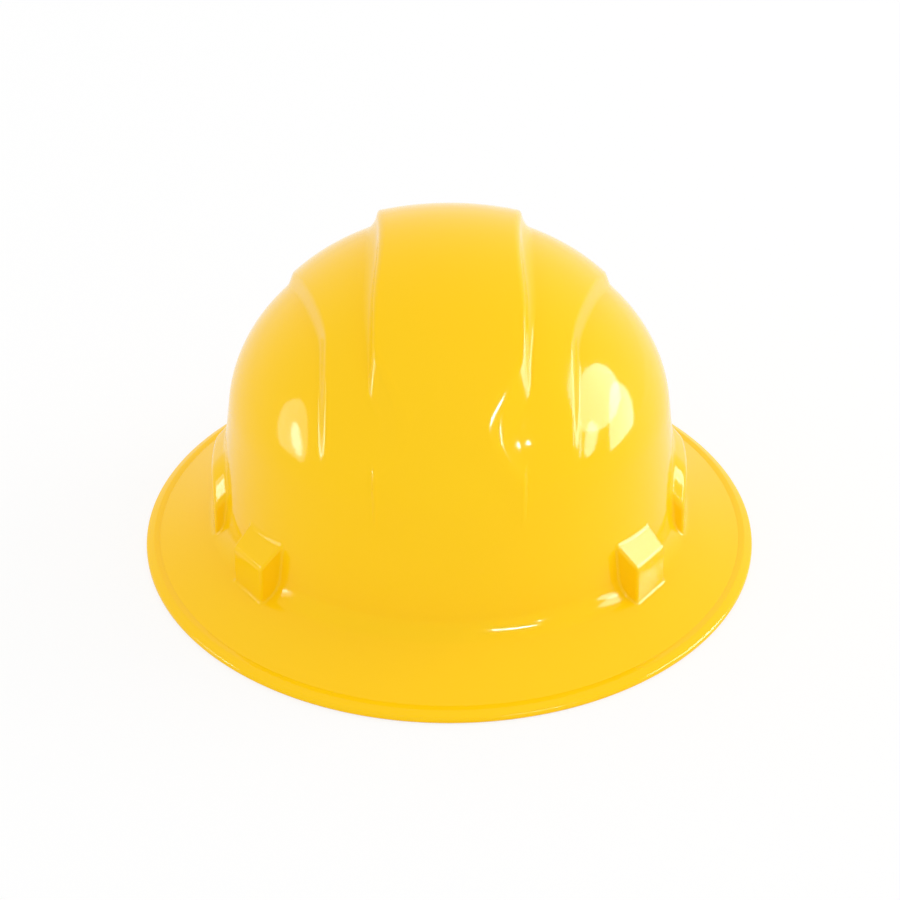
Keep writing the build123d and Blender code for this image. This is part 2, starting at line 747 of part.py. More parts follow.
def ratchet_housing():
    # Open channel that both arms slide in, with four stakes for the cover.
    bottom = axis_height - arm_height / 2 - housing_fit
    top = axis_height + arm_height / 2 + housing_fit
    start = 90 - housing_half_angle
    end = 90 + housing_half_angle
    body = ring_sector(housing_inner, housing_outer, bottom - housing_rail, top + housing_rail, start, end)
    for rail_bottom in (bottom - housing_rail, top):
        body += ring_sector(housing_inner, cover_inner - cover_fit, rail_bottom, rail_bottom + housing_rail,
                            start, end)
    body -= shaft(journal_diameter + 2 * journal_fit, housing_inner - overrun, housing_outer + overrun)
    for place in stake_places():
        body += place * stake(stake_diameter, housing_outer, cover_outer)
        body += place * stake(stake_head_diameter, cover_outer, cover_outer + stake_head_height)
    return body


def stake_places():
    # Angle and height of the four stakes.
    angle = housing_half_angle - stake_edge_angle
    rail_middle = (arm_height + housing_rail) / 2 + housing_fit
    places = []
    for turn in (-angle, angle):
        for level in (-rail_middle, rail_middle):
            places.append(Pos(0, head_centre_y, axis_height + level) * Rot(0, 0, turn))
    return places


def stake(diameter, inner, outer):
    return Pos(0, inner, 0) * Rot(-90, 0, 0) * pin_along(diameter, outer - inner)


def ratchet_cover():
    # Curved plate over the channel, with the shaft hole and four stake holes.
    half_height = arm_height / 2 + housing_fit + housing_rail
    body = ring_sector(cover_inner, cover_outer, axis_height - half_height, axis_height + half_height,
                       90 - housing_half_angle, 90 + housing_half_angle)
    body -= shaft(shaft_diameter + 2 * journal_fit, cover_inner - overrun, cover_outer + overrun)
    for place in stake_places():
        body -= place * stake(stake_diameter + 2 * stake_fit, cover_inner - overrun, cover_outer + overrun)
    return body


def knob():
    # Grip with scallops, a toothed recess for the click spring and a screw seat.
    grip = Circle(knob_diameter / 2)
    offset = knob_diameter / 2 + knob_scallop_diameter / 2 - knob_scallop_depth
    for index in range(knob_lobes):
        scallop = Pos(0, offset) * Circle(knob_scallop_diameter / 2)
        grip -= Rot(0, 0, 360 / knob_lobes * index) * scallop
    body = extrude(grip, knob_thickness)
    body = chamfer(body.faces().sort_by(Axis.Z)[-1].edges(), knob_edge_chamfer)
    ring = Circle(detent_root_radius)
    tooth_outline = Polyline(
        (-detent_notch(), detent_root_radius + overrun), (0, detent_tip_radius),
        (detent_notch(), detent_root_radius + overrun), close=True)
    for index in range(detent_teeth):
        ring -= Rot(0, 0, 360 / detent_teeth * index) * make_face(tooth_outline)
    body -= extrude(ring, knob_recess_depth)
    square = Rectangle(drive_across + 2 * drive_fit, drive_across + 2 * drive_fit)
    body -= extrude(square, knob_recess_depth + drive_length + drive_fit)
    head_room = Circle(screw_head_diameter / 2 + journal_fit)
    body -= Pos(0, 0, knob_thickness - screw_head_recess) * extrude(head_room, screw_head_recess + overrun)
    body -= extrude(Circle(screw_diameter / 2 + drive_fit), knob_thickness)
    return Pos(0, head_centre_y + knob_inner, axis_height) * Rot(-90, 0, 0) * body


def detent_notch():
    # Half width of a click tooth where its outline leaves the recess.
    return pi * detent_root_radius / detent_teeth * detent_notch_share


def detent_spring():
    # Ring on the cover with two curved arms that click in the knob.
    inner = shaft_diameter / 2 + spring_fit
    ring = Circle(inner + spring_ring_width) - Circle(inner)
    arm_outer = detent_tip_radius - spring_fit - spring_bump_radius / 2
    arm_ring = Circle(arm_outer) - Circle(arm_outer - spring_arm_width)
    span = 2 * detent_root_radius
    wedge = make_face(Polyline(
        (0, 0), (span, 0),
        (span * cos(radians(spring_arm_angle)), span * sin(radians(spring_arm_angle))), close=True))
    for turn in (0, 180):
        ring += Rot(0, 0, turn) * (arm_ring & wedge)
        spoke_length = arm_outer - inner - spring_ring_width / 2
        spoke = Pos(inner + spring_ring_width / 2 + spoke_length / 2, spring_arm_width)
        ring += Rot(0, 0, turn) * (spoke * Rectangle(spoke_length, 2 * spring_arm_width))
        bump_radius = detent_tip_radius - spring_fit - spring_bump_radius
        bump = Pos(bump_radius, 0) * Circle(spring_bump_radius)
        ring += Rot(0, 0, turn + spring_arm_angle) * bump
    body = extrude(ring, spring_thickness)
    return Pos(0, head_centre_y + cover_outer + knob_gap, axis_height) * Rot(-90, 0, 0) * body


def knob_screw():
    # Pan head screw that holds the knob on the pinion.
    seat = knob_thickness - screw_head_recess
    body = Pos(0, 0, seat - screw_length) * extrude(Circle(screw_diameter / 2 - drive_fit), screw_length)
    head = Pos(0, 0, seat) * extrude(Circle(screw_head_diameter / 2), screw_head_height)
    head = fillet(head.edges().group_by(Axis.Z)[-1], screw_head_height / 3)
    slot = Box(screw_head_diameter, screw_slot_width, 2 * screw_slot_depth)
    body += head - Pos(0, 0, seat + screw_head_height) * slot
    return Pos(0, head_centre_y + knob_inner, axis_height) * Rot(-90, 0, 0) * body


def pad_section(back, thickness, bottom, top):
    # Section of a pad: flat back, crowned front and rounded edges.
    front = back - thickness
    crown = thickness * pad_crown_share
    middle = (bottom + top) / 2
    face_arc = ThreePointArc((front + crown, bottom), (front, middle), (front + crown, top))
    rest = Polyline((front + crown, top), (back, top), (back, bottom), (front + crown, bottom))
    face = make_face(Curve() + [face_arc, rest])
    return Plane.XZ * fillet(face.vertices(), pad_edge_radius)


def brow_pad():
    # Cushion inside the front of the band.
    back = band_side_radius - pad_fit
    section = pad_section(back, brow_pad_thickness, band_bottom - brow_pad_overlap,
                          band_top + brow_pad_overlap)
    turn = Rot(0, 0, 270 - brow_pad_half_angle)
    body = turn * revolve(section, Axis.Z, 2 * brow_pad_half_angle)
    front_share = (band_front_reach - pad_fit) / back
    return Pos(0, head_centre_y, 0) * scale(body, by=(1, front_share, 1))


def nape_pad():
    # Cushion inside the ratchet housing.
    section = pad_section(housing_inner - pad_fit, nape_pad_thickness, axis_height - nape_pad_height / 2,
                          axis_height + nape_pad_height / 2)
    body = revolve(section, Axis.Z, 2 * nape_pad_half_angle)
    return Pos(0, head_centre_y, 0) * Rot(0, 0, 90 - nape_pad_half_angle) * body


def build_all():
    keys = all_corners(suspension_key())
    lower = crown_strap(0)
    upper = mirror(crown_strap(strap_thickness + strap_cross_gap), Plane.YZ)
    return {
        "shell": shell(),
        "key_front_left": keys[0],
        "key_front_right": keys[1],
        "key_rear_left": keys[2],
        "key_rear_right": keys[3],
        "crown_strap_lower": lower,
        "crown_strap_upper": upper,
        "headband": headband(),
        "brow_pad": brow_pad(),
        "temple_stud_left": temple_stud(0),
        "temple_stud_right": mirror(temple_stud(1), Plane.YZ),
        "left_arm": left_arm(),
        "right_arm": right_arm(),
        "ratchet_housing": ratchet_housing(),
        "ratchet_cover": ratchet_cover(),
        "nape_pad": nape_pad(),
        "pinion": pinion(),
        "detent_spring": detent_spring(),
        "knob": knob(),
        "knob_screw": knob_screw(),
    }


os.makedirs("parts", exist_ok=True)
for name, piece in build_all().items():
    export_step(piece, "parts/" + name + ".step")
    print(name, round(piece.volume))
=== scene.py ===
import bmesh
import bpy
import numpy as np
from functools import cache
from math import asin, atan, cos, hypot, pi, radians, sin, sqrt, tan
from mathutils import Matrix, Vector


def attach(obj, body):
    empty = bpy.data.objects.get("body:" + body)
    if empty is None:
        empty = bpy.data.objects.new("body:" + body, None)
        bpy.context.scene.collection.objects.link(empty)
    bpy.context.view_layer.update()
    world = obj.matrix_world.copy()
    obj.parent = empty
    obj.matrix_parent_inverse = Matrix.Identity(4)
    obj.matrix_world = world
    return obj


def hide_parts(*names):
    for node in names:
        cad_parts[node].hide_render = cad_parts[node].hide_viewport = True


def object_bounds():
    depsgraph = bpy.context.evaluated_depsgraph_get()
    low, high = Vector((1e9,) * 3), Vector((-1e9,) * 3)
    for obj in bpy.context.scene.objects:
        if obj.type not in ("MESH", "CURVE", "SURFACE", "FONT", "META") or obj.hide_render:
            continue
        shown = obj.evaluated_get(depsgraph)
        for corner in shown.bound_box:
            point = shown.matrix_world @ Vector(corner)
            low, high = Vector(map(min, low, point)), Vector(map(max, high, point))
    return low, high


# Full brim hard hat. The forms are worked out in millimetres, as in the part,
# and every mesh is made in metres in the part's own frame: +Z up, the wearer
# faces -Y and the wearer's left is +X.
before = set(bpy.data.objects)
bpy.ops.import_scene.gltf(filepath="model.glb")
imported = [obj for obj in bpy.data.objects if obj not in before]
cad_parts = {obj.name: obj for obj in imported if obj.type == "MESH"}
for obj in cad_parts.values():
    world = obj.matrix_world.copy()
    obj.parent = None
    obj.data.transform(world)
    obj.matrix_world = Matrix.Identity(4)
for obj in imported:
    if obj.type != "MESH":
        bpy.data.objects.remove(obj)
cad_low, cad_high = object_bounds()
scene = bpy.context.scene
MM = 0.001

# Shell form, the same sizes as the part's
brim_half = (cad_high.x - cad_low.x) / 2 / MM
brim_share = (cad_high.y - cad_low.y) / (cad_high.x - cad_low.x)
brim_edge_height = 4.8
brim_root_height = 17.6
brim_wall = 2.7
bead_width = 7.2
bead_height = 4.6
bead_shoulder_share = 0.62
bead_radius = 1.4
bead_foot_width = 3.4
groove_width = 1.6
groove_depth = 0.18
brim_blend = 5.5
dome_half = 100.19
dome_share = 218.5 / 200.4
dome_spring = 66.6
dome_top = 140.66
dome_draft = tan(radians(6.3))
shell_wall = 2.6
inner_corner = 1.3
panel_spring = 66.4
panel_top = 149.33
panel_sink = 0.4
panel_front_half = 55.0
panel_rear_half = 69.2
panel_wide_half = 73.25
panel_narrow_end = -42.0
panel_wide_start = 28.0
panel_wide_end = 58.0
panel_rear_end = 109.0
panel_blend = 11.0
step_inside = 2.34
step_outside = 1.69
panel_fade = 0.8
ridge_top = (cad_high.z - cad_low.z) / MM
ridge_spring = 66.4
ridge_half_length = 107.4
ridge_top_half = 32.5
ridge_waist = 1.7
ridge_flank = 2.6
ridge_depth = 11.0
ridge_crown = 3.43
ridge_edge_radius = 2.0
ridge_front_radius = 0.9
ridge_least_radius = 0.7
ridge_soft_start = 136.0
ridge_soft_end = 152.0
ridge_waist_end = 55.0
ridge_foot_radius = 4.2
ridge_foot_sharp = 0.35
ridge_foot_start = 118.0
nose_yaw = radians(59.57)
nose_tilt = radians(29.9)
nose_middle = (25.36, 87.62, 111.59)
nose_bow = 0.0085
nose_bow_end = 3.5
nose_lift = 0.45
nose_radius = 0.8

# Key lugs and the pockets for accessories
lug_angle = radians(35.8)
lug_half_width = 11.7
lug_flare = 0.12
lug_reach = 7.3
lug_turn = 0.04
lug_draft = 0.006
lug_shoulder = 32.3
lug_pitch = 0.84
lug_radius = 1.3
pocket_width = 17.0
pocket_depth = 6.2
pocket_top = 32.0
boss_half_length = 30.0
boss_face = 108.8
boss_bow = 170.0
boss_shoulder = 42.2
boss_flat_half = 18.5
boss_fall = 1.0
boss_pitch = 1.2
boss_corner = 4.0
boss_radius = 1.5
slot_length = 31.0
slot_gap = 4.6
slot_top = 41.0
slot_outer_wall = 1.9
web_thickness = 2.2
cut_bottom = -2.0
foot_radius = 1.1
lug_bury = 1.7
lug_back = 2.6
boss_back_rise = 8.0
block_voxel = 0.55

# Suspension, the same sizes as the part's
key_angle = radians(40.609)
key_radius = 97.2
strap_width = 19.0
strap_thickness = 1.4
strap_top = 111.2
strap_lift = 1.75
bar_middle = 49.9
strap_tail = 25.0
strap_free_level = 60.0
strap_tail_level = 57.5
strap_step = 1.1
strap_seam = (2.5, 19.5)
strap_seam_half = 6.6
weave_unit = 10.0
head_centre = 8.0
band_side = 80.0
band_front = 112.0
band_low = 6.0
band_high = 32.0
brow_half_angle = radians(58.0)
brow_thickness = 4.2
brow_overlap = 1.4
nape_back = 78.95
nape_thickness = 4.0
nape_half_angle = radians(25.0)
nape_low = 7.0
nape_high = 33.0
pad_gap = 0.3
pad_voxel = 1.7
pad_pressure = 4.0
pad_steps = 20
pad_start = 0.52
pad_swell = 0.48
pad_edge = 0.4
border_inset = 3.4
border_half = 0.75
border_press = 0.42

# A strap's way round a key's bar, (out, up), from the crown's side to the tail
bar_wrap = [(97.3, 56.6), (98.9, 53.4), (99.45, 50.4), (99.45, 48.5), (99.15, 47.3), (98.3, 46.7),
            (97.2, 46.7), (96.1, 46.7), (95.25, 47.3), (94.95, 48.5), (94.95, 51.0), (94.92, 54.0)]

# Stitches: pitch, length, the thread's radius and its rise over the cloth
strap_stitch = (2.4, 2.0, 0.26, 0.34)
pad_stitch = (3.1, 2.3, 0.24, 0.28)

# Colours of the shell
shell_deep = (0.985, 0.585, 0.0035)
shell_bright = (1.0, 0.625, 0.0045)

# Moulded plastics: name, dark, light, roughness, scale and depth of the grain, and the nodes
finishes = (
    (("key_plastic", (0.020, 0.021, 0.023), (0.034, 0.035, 0.038), (0.38, 0.52), 1900.0, 0.00006),
     ("key_front_left", "key_front_right", "key_rear_left", "key_rear_right")),
    (("band_plastic", (0.028, 0.029, 0.031), (0.046, 0.047, 0.050), (0.42, 0.58), 2200.0, 0.00007),
     ("headband", "left_arm", "right_arm", "temple_stud_left", "temple_stud_right")),
    (("ratchet_plastic", (0.018, 0.019, 0.021), (0.030, 0.031, 0.034), (0.34, 0.50), 1600.0, 0.00008),
     ("ratchet_housing", "ratchet_cover")),
    (("knob_plastic", (0.016, 0.016, 0.018), (0.028, 0.028, 0.031), (0.30, 0.44), 1400.0, 0.00009),
     ("knob",)),
    (("gear_plastic", (0.55, 0.54, 0.50), (0.68, 0.67, 0.62), (0.30, 0.42), 2400.0, 0.00004),
     ("pinion", "detent_spring")))

# Light and camera, in metres
world_fill = 0.99
floor_glow = 0.78
floor_half = 30.0
box_distance = 2.5
box_target = (0.0, 0.0, 0.085)
camera_place = (0.0, -1.2928, 0.7840)
camera_target = (0.0, 0.0, 0.060)
camera_lens = 130.02
camera_shift = (0.0008, -0.0341)

# Oval lamps: name, azimuth, elevation, width, height and roll in degrees, radiance
lamps = (("box_left", -91.5, 9.5, 35, 21, -61, 3.8),
         ("box_left_core", -87.5, 8.5, 18, 7, -52, 14.5),
         ("box_right_high", 100, 25, 36, 26, 0, 11.0),
         ("box_right_low", 103, 6, 34, 19, 50, 10.5),
         ("box_right_side", 82, 14, 20, 8, 52, 13.5),
         ("box_front", 34.5, 37, 23, 3.2, 8, 90.0),
         ("box_front_low", 46.5, 25.6, 2.4, 2.4, 0, 90.0))
key_lamp = ("key", 104, 20, 42, 42, 0, 1.2)

# Fineness of the shell's grid, the blocks and the curves, and how near a point lies to a surface
column_count = 800
ray_height = 45.0
ray_near = 20.0
ray_far = 160.0
dome_rows = 190
wall_rows = 52
blend_rows = 12
brim_rows = 14
inner_rows = 90
lug_steps = 32
boss_steps = 40
curve_steps = 24
oval_steps = 1200
oval_spacing = 0.5
shell_triangles = 190000
block_skin = 2.4
seam_skin = 2.2
normal_skin = 0.04
inside_skin = 0.6
sharp_angle = radians(35)


def dome_tangent(half, top, spring):
    # Half width and height where a dome's drafted wall meets its crown.
    rise = top - spring
    turn = atan(dome_draft * rise / half)
    return half * cos(turn), spring + rise * sin(turn)


# Sizes that follow from the others
wall_half, wall_top = dome_tangent(dome_half, dome_top, dome_spring)
dome_root = wall_half + dome_draft * (wall_top - brim_root_height)
bead_inner = brim_half - bead_width
brim_slope = (brim_root_height - brim_edge_height) / (bead_inner - dome_root)
brim_drop = brim_wall * hypot(1, brim_slope)
root_turn = atan(tan(lug_angle) * dome_share)
lug_x = dome_root * cos(root_turn)
lug_y = dome_root * dome_share * sin(root_turn)
slot_outer = boss_face - slot_outer_wall
turns = np.arange(column_count) * 2 * pi / column_count
unit_x, unit_y = np.cos(turns), np.sin(turns)
brim_reach = 1 / np.hypot(unit_x, unit_y / brim_share)

# From the lug's own frame to the shell's four corners, and from one side to both
first_corner = Matrix.Translation((lug_x, lug_y, 0)) @ Matrix.Rotation(lug_angle, 4, "Z")
corner_places = [Matrix.Diagonal((side, end, 1, 1)) @ first_corner for side in (1, -1) for end in (1, -1)]
side_places = [Matrix.Diagonal((side, 1, 1, 1)) for side in (1, -1)]


def ellipse_distance(place, half):
    # Near the surface, the distance to an ellipsoid with these half axes.
    inner = np.sqrt(sum((value / axis) ** 2 for value, axis in zip(place, half)))
    outer = np.sqrt(sum((value / axis ** 2) ** 2 for value, axis in zip(place, half)))
    return inner * (inner - 1) / np.maximum(outer, 1e-9)


def dome_distance(p, half, top, spring, shrink):
    # Drafted wall that runs tangent into the crown's ellipsoid.
    x, y, z = p.T
    tangent_half, tangent_height = dome_tangent(half, top, spring)
    level_half = tangent_half + dome_draft * (tangent_height - z) - shrink
    length_share = (half * dome_share - shrink) / (half - shrink)
    crown = ellipse_distance((x, y, z - spring),
                             (half - shrink, half * dome_share - shrink, top - spring - shrink))
    ratio = np.sqrt(x ** 2 + (y / length_share) ** 2)
    stretch = np.sqrt(x ** 2 + (y / length_share ** 2) ** 2) / np.maximum(ratio, 1e-9)
    wall = (ratio - level_half) / np.maximum(stretch, 1e-9) / hypot(1, dome_draft)
    return np.where(z > tangent_height, crown, wall)


def round_union(a, b, radius):
    far = np.maximum(radius, np.minimum(a, b))
    return far - np.hypot(np.maximum(radius - a, 0), np.maximum(radius - b, 0))


def round_cut(a, b, radius):
    near = np.minimum(-radius, np.maximum(a, b))
    return near + np.hypot(np.maximum(radius + a, 0), np.maximum(radius + b, 0))


def smooth_step(value, start, end):
    # From 0 at the start to 1 at the end.
    t = np.clip((value - start) / (end - start), 0, 1)
    return t * t * t * (t * (6 * t - 15) + 10)


def panel_half(y):
    # Half width of the raised panel, straight stretches with eased corners.
    widen = (panel_wide_half - panel_front_half) / (panel_wide_start - panel_narrow_end)
    narrow = (panel_rear_half - panel_wide_half) / (panel_rear_end - panel_wide_end)
    half = np.full_like(y, panel_front_half)
    slope = 0.0
    for place, new_slope in ((panel_narrow_end, widen), (panel_wide_start, 0.0), (panel_wide_end, narrow)):
        past = y - place
        eased = (past + np.sqrt(past ** 2 + panel_blend ** 2 / 4)) / 2
        half = half + (new_slope - slope) * eased
        slope = new_slope
    return half


def upper_dome(p, shrink):
    # Side dome with the panel raised on it.
    side = dome_distance(p, dome_half, dome_top, dome_spring, shrink)
    raised = dome_distance(p, dome_half - panel_sink, panel_top, panel_spring, shrink)
    lift = side - raised
    lift = (lift + np.sqrt(lift ** 2 + panel_fade ** 2)) / 2 - panel_fade / 2
    outline = np.abs(p[:, 0]) - panel_half(p[:, 1]) + shrink
    share = 1 - smooth_step(outline, -step_inside, step_outside)
    return side - np.maximum(lift, 0) * share


def ridge_distance(p, shrink):
    # The centre ridge: crowned top, steep flanks and a facet at each end.
    x, y, z = p.T
    above = ellipse_distance((y, z - ridge_spring), (ridge_half_length, ridge_top - ridge_spring))
    half = ridge_top_half - ridge_waist * (1 - smooth_step(np.abs(y), 0, ridge_waist_end))
    crown_radius = (ridge_top_half ** 2 + ridge_crown ** 2) / (2 * ridge_crown)
    top = np.hypot(x, above + crown_radius) - crown_radius + shrink
    drop = ridge_depth - ridge_crown
    flank = (np.abs(x) - half) * drop + (above + ridge_crown) * ridge_flank
    flank = flank / hypot(drop, ridge_flank) + shrink
    soft = smooth_step(z, ridge_soft_start, ridge_soft_end)
    radius = ridge_front_radius + (ridge_edge_radius - ridge_front_radius) * soft
    body = round_cut(top, flank, np.maximum(radius - shrink, ridge_least_radius))
    return round_cut(body, nose_distance(p) + shrink, nose_radius)


def nose_distance(p):
    # The facets at both ends of the ridge, by symmetry one: a plane, gently bowed across.
    out = np.array([cos(nose_tilt) * cos(nose_yaw), cos(nose_tilt) * sin(nose_yaw), sin(nose_tilt)])
    place = np.stack([np.abs(p[:, 0]), np.abs(p[:, 1]), p[:, 2]], 1) - nose_middle
    across = place @ np.array([sin(nose_yaw), -cos(nose_yaw), 0.0])
    bowed = np.maximum(across, -nose_bow_end)
    bow = nose_bow * bowed ** 2 - 2 * nose_bow * nose_bow_end * (across - bowed)
    return place @ out + bow - nose_lift


def crown_form(p, shrink):
    # Dome, panel and ridge; the hollow along the ridge's foot is tighter towards its ends.
    soft = smooth_step(p[:, 2], ridge_foot_start, ridge_soft_end)
    fillet = ridge_foot_sharp + (ridge_foot_radius - ridge_foot_sharp) * soft
    return round_union(upper_dome(p, shrink), ridge_distance(p, shrink), fillet)


def brim_height(ratio):
    return brim_edge_height + brim_slope * (bead_inner - ratio)


def bare_form(p):
    # Crown and brim above the rolled edge, negative inside.
    height = brim_height(np.hypot(p[:, 0], p[:, 1] / brim_share))
    brim = (p[:, 2] - height) / hypot(1, brim_slope)
    return round_union(crown_form(p, 0.0), brim, brim_blend)


def lug_distance(p):
    # The four lugs, by symmetry one: face, sloping top and two sides.
    x, y, z = np.abs(p[:, 0]) - lug_x, np.abs(p[:, 1]) - lug_y, p[:, 2]
    out = x * cos(lug_angle) + y * sin(lug_angle)
    along = y * cos(lug_angle) - x * sin(lug_angle)
    front = out - lug_reach - lug_turn * along + lug_draft * z
    top = (front * lug_pitch + z - lug_shoulder) / hypot(lug_pitch, 1)
    side = (np.abs(along) - lug_half_width + lug_flare * front) / hypot(1, lug_flare)
    return round_cut(round_cut(front, top, lug_radius), side, lug_radius)


def boss_bowed(y):
    # The pocket block's face, bowed gently round the dome.
    return boss_face - y ** 2 / (2 * boss_bow)


def boss_distance(p):
    # The blocks of both accessory pockets: bowed face, sloping top with lower corners.
    y = np.abs(p[:, 1])
    front = np.abs(p[:, 0]) - boss_bowed(y)
    rise = front * boss_pitch + p[:, 2] - boss_shoulder
    top = rise / hypot(boss_pitch, 1)
    corner = (rise + (y - boss_flat_half) * boss_fall) / sqrt(boss_pitch ** 2 + 1 + boss_fall ** 2)
    top = round_cut(top, corner, boss_corner)
    block = round_cut(round_cut(front, top, boss_radius), y - boss_half_length, boss_radius)
    return np.maximum(block, -front - 20)


def block_form(p):
    return np.minimum(lug_distance(p), boss_distance(p))


def outer_form(p):
    return round_union(bare_form(p), block_form(p), foot_radius)


def inner_form(p):
    return crown_form(p, shell_wall)


def gradient(form, p):
    step = 0.02
    rows = []
    for axis in range(3):
        shift = np.zeros(3)
        shift[axis] = step
        rows.append((form(p + shift) - form(p - shift)) / (2 * step))
    return np.stack(rows, 1)


def along_rays(form, start, direction):
    # Where each ray from inside meets the form's surface.
    low, high = np.full(len(start), ray_near), np.full(len(start), ray_far)
    for _ in range(30):
        middle = (low + high) / 2
        inside = form(start + direction * middle[:, None]) < 0
        low, high = np.where(inside, middle, low), np.where(inside, high, middle)
    return start + direction * ((low + high) / 2)[:, None]


def pulled_on(form, p, rounds):
    # Points moved onto the surface along its slope.
    for _ in range(rounds):
        slope = gradient(form, p)
        p = p - slope * (form(p) / np.maximum((slope ** 2).sum(1), 1e-6))[:, None]
    return p


def ring(radius, height):
    # One row of points, a radius and a height for each column.
    return np.stack([unit_x * radius, unit_y * radius, np.broadcast_to(height, turns.shape)], 1)


def crown_rows(form, shrink, count, lowest):
    # Rows from the apex down to the level lowest, on rays from inside the head.
    rise = dome_top - shrink - dome_spring
    end = asin((lowest - dome_spring) / rise)
    rows = []
    for index in range(1, count + 1):
        level = pi / 2 + (end - pi / 2) * index / count
        radius = (dome_half - shrink) * cos(level) / np.hypot(unit_x, unit_y / dome_share)
        aim = ring(radius, dome_spring + rise * sin(level)) - (0, 0, ray_height)
        aim = aim / np.linalg.norm(aim, axis=1)[:, None]
        start = np.broadcast_to((0.0, 0.0, ray_height), aim.shape)
        rows.append(along_rays(form, start, aim))
    return rows


def wall_radius(height, shrink):
    # Radius of the drafted wall for each column.
    half = wall_half + dome_draft * (wall_top - height) - shrink
    length_share = (dome_half * dome_share - shrink) / (dome_half - shrink)
    return half / np.hypot(unit_x, unit_y / length_share)


def wall_ring(height, shrink):
    return ring(wall_radius(height, shrink), height)


def rounded_outline(points, radius, steps):
    # Points of an open outline whose inner corners are arcs of the radius.
    made = [Vector(points[0])]
    for before, corner, after in zip(points, points[1:], points[2:]):
        corner = Vector(corner)
        one = (Vector(before) - corner).normalized()
        two = (Vector(after) - corner).normalized()
        half_angle = one.angle(two) / 2
        reach = radius / tan(half_angle)
        centre = corner + (one + two).normalized() * (radius / sin(half_angle))
        first, last = corner + one * reach, corner + two * reach
        for index in range(steps + 1):
            spoke = (first - centre).lerp(last - centre, index / steps).normalized()
            made.append(centre + spoke * radius)
    made.append(Vector(points[-1]))
    return made


def bead_outline():
    # Crease, rolled edge and flat foot ring, in the plane of one column.
    steps = 8
    crease = []
    for index in range(steps):
        share = index / steps
        drop = groove_depth * sin(pi * share) ** 2
        level = brim_edge_height + (bead_height - brim_edge_height) * share
        crease.append((bead_inner + groove_width * share, level - drop))
    edge = rounded_outline([
        (bead_inner + groove_width, bead_height),
        (brim_half - bead_width / 2, bead_height),
        (brim_half, bead_shoulder_share * bead_height),
        (brim_half, 0.0),
        (brim_half - bead_radius - bead_foot_width, 0.0)], bead_radius, 5)
    return crease + [tuple(point) for point in edge]


def bend(one, corner, two, t):
    # A point, or a row of points, on the curve that a corner draws between two others.
    return one * (1 - t) ** 2 + corner * 2 * t * (1 - t) + two * t ** 2


def outside_rows():
    # Rows from the apex over the crown, wall and brim to the foot ring.
    rows = crown_rows(bare_form, 0.0, dome_rows, dome_spring + 8)
    high = dome_spring + 6
    low = brim_root_height + 2 * brim_blend
    for index in range(wall_rows):
        height = high + (low - high) * index / (wall_rows - 1)
        rows.append(pulled_on(bare_form, wall_ring(height, 0.0), 3))
    brim_start = dome_root + 2 * brim_blend
    wall_end = rows[-1]
    brim_begin = ring(brim_start * brim_reach, brim_height(brim_start))
    corner = ring(wall_radius(brim_root_height, 0.0), brim_root_height + 1.0)
    for index in range(1, blend_rows):
        rows.append(pulled_on(bare_form, bend(wall_end, corner, brim_begin, index / blend_rows), 8))
    for index in range(brim_rows):
        ratio = brim_start + (bead_inner - brim_start) * index / brim_rows
        rows.append(pulled_on(bare_form, ring(ratio * brim_reach, brim_height(ratio)), 3))
    return rows + [ring(out * brim_reach, up) for out, up in bead_outline()]


def inside_rows():
    # Rows from the foot ring under the brim and up the inside to the apex.
    foot = bead_inner - 1.0
    height = np.full_like(turns, brim_root_height - brim_drop)
    for _ in range(20):
        height = brim_height(wall_radius(height, shell_wall) / brim_reach) - brim_drop
    corner = wall_ring(height, shell_wall)
    outside = ring(foot * brim_reach, brim_height(foot) - brim_drop)
    away = outside - corner
    away = corner + away / np.linalg.norm(away, axis=1)[:, None] * inner_corner
    above_height = height + inner_corner
    above = wall_ring(above_height, shell_wall)
    rows = [outside + (away - outside) * share for share in np.linspace(0, 1, 9)]
    rows += [bend(away, corner, above, t) for t in (0.25, 0.5, 0.75)]
    for share in np.linspace(0, 1, 14):
        rows.append(wall_ring(above_height + (dome_spring + 2 - above_height) * share, shell_wall))
    return rows + crown_rows(inner_form, shell_wall, inner_rows, dome_spring + 6)[::-1]


def grid_mesh(name, rows, low_apex, high_apex):
    # Closed mesh of rings with a point at both ends.
    points = np.concatenate([high_apex] + rows + [low_apex])
    here = np.arange(column_count)
    there = (here + 1) % column_count
    last = 1 + (len(rows) - 1) * column_count
    end = len(points) - 1
    faces = [(0, 1 + a, 1 + b) for a, b in zip(here, there)]
    for top in range(1, last, column_count):
        low = top + column_count
        faces += np.stack([top + here, low + here, low + there, top + there], 1).tolist()
    faces += [(last + a, end, last + b) for a, b in zip(here, there)]
    mesh = bpy.data.meshes.new(name)
    mesh.from_pydata((points * MM).tolist(), [], faces)
    mesh.validate()
    return mesh


def new_object(name, mesh):
    piece = bpy.data.objects.new(name, mesh)
    scene.collection.objects.link(piece)
    return piece


def modify(piece, kind, **settings):
    # A modifier, applied at once.
    step = piece.modifiers.new("step", kind)
    for key, value in settings.items():
        setattr(step, key, value)
    graph = bpy.context.evaluated_depsgraph_get()
    made = bpy.data.meshes.new_from_object(piece.evaluated_get(graph))
    piece.modifiers.clear()
    piece.data = made


def read_vectors(items, field):
    values = np.zeros(len(items) * 3)
    items.foreach_get(field, values)
    return values.reshape(-1, 3)


def mesh_points(mesh):
    return read_vectors(mesh.vertices, "co") / MM


def set_points(mesh, points):
    mesh.vertices.foreach_set("co", (points * MM).ravel())


def finished_mesh(name, shape, turn_out=True):
    if turn_out:
        bmesh.ops.recalc_face_normals(shape, faces=shape.faces)
    mesh = bpy.data.meshes.new(name)
    shape.to_mesh(mesh)
    shape.free()
    return mesh


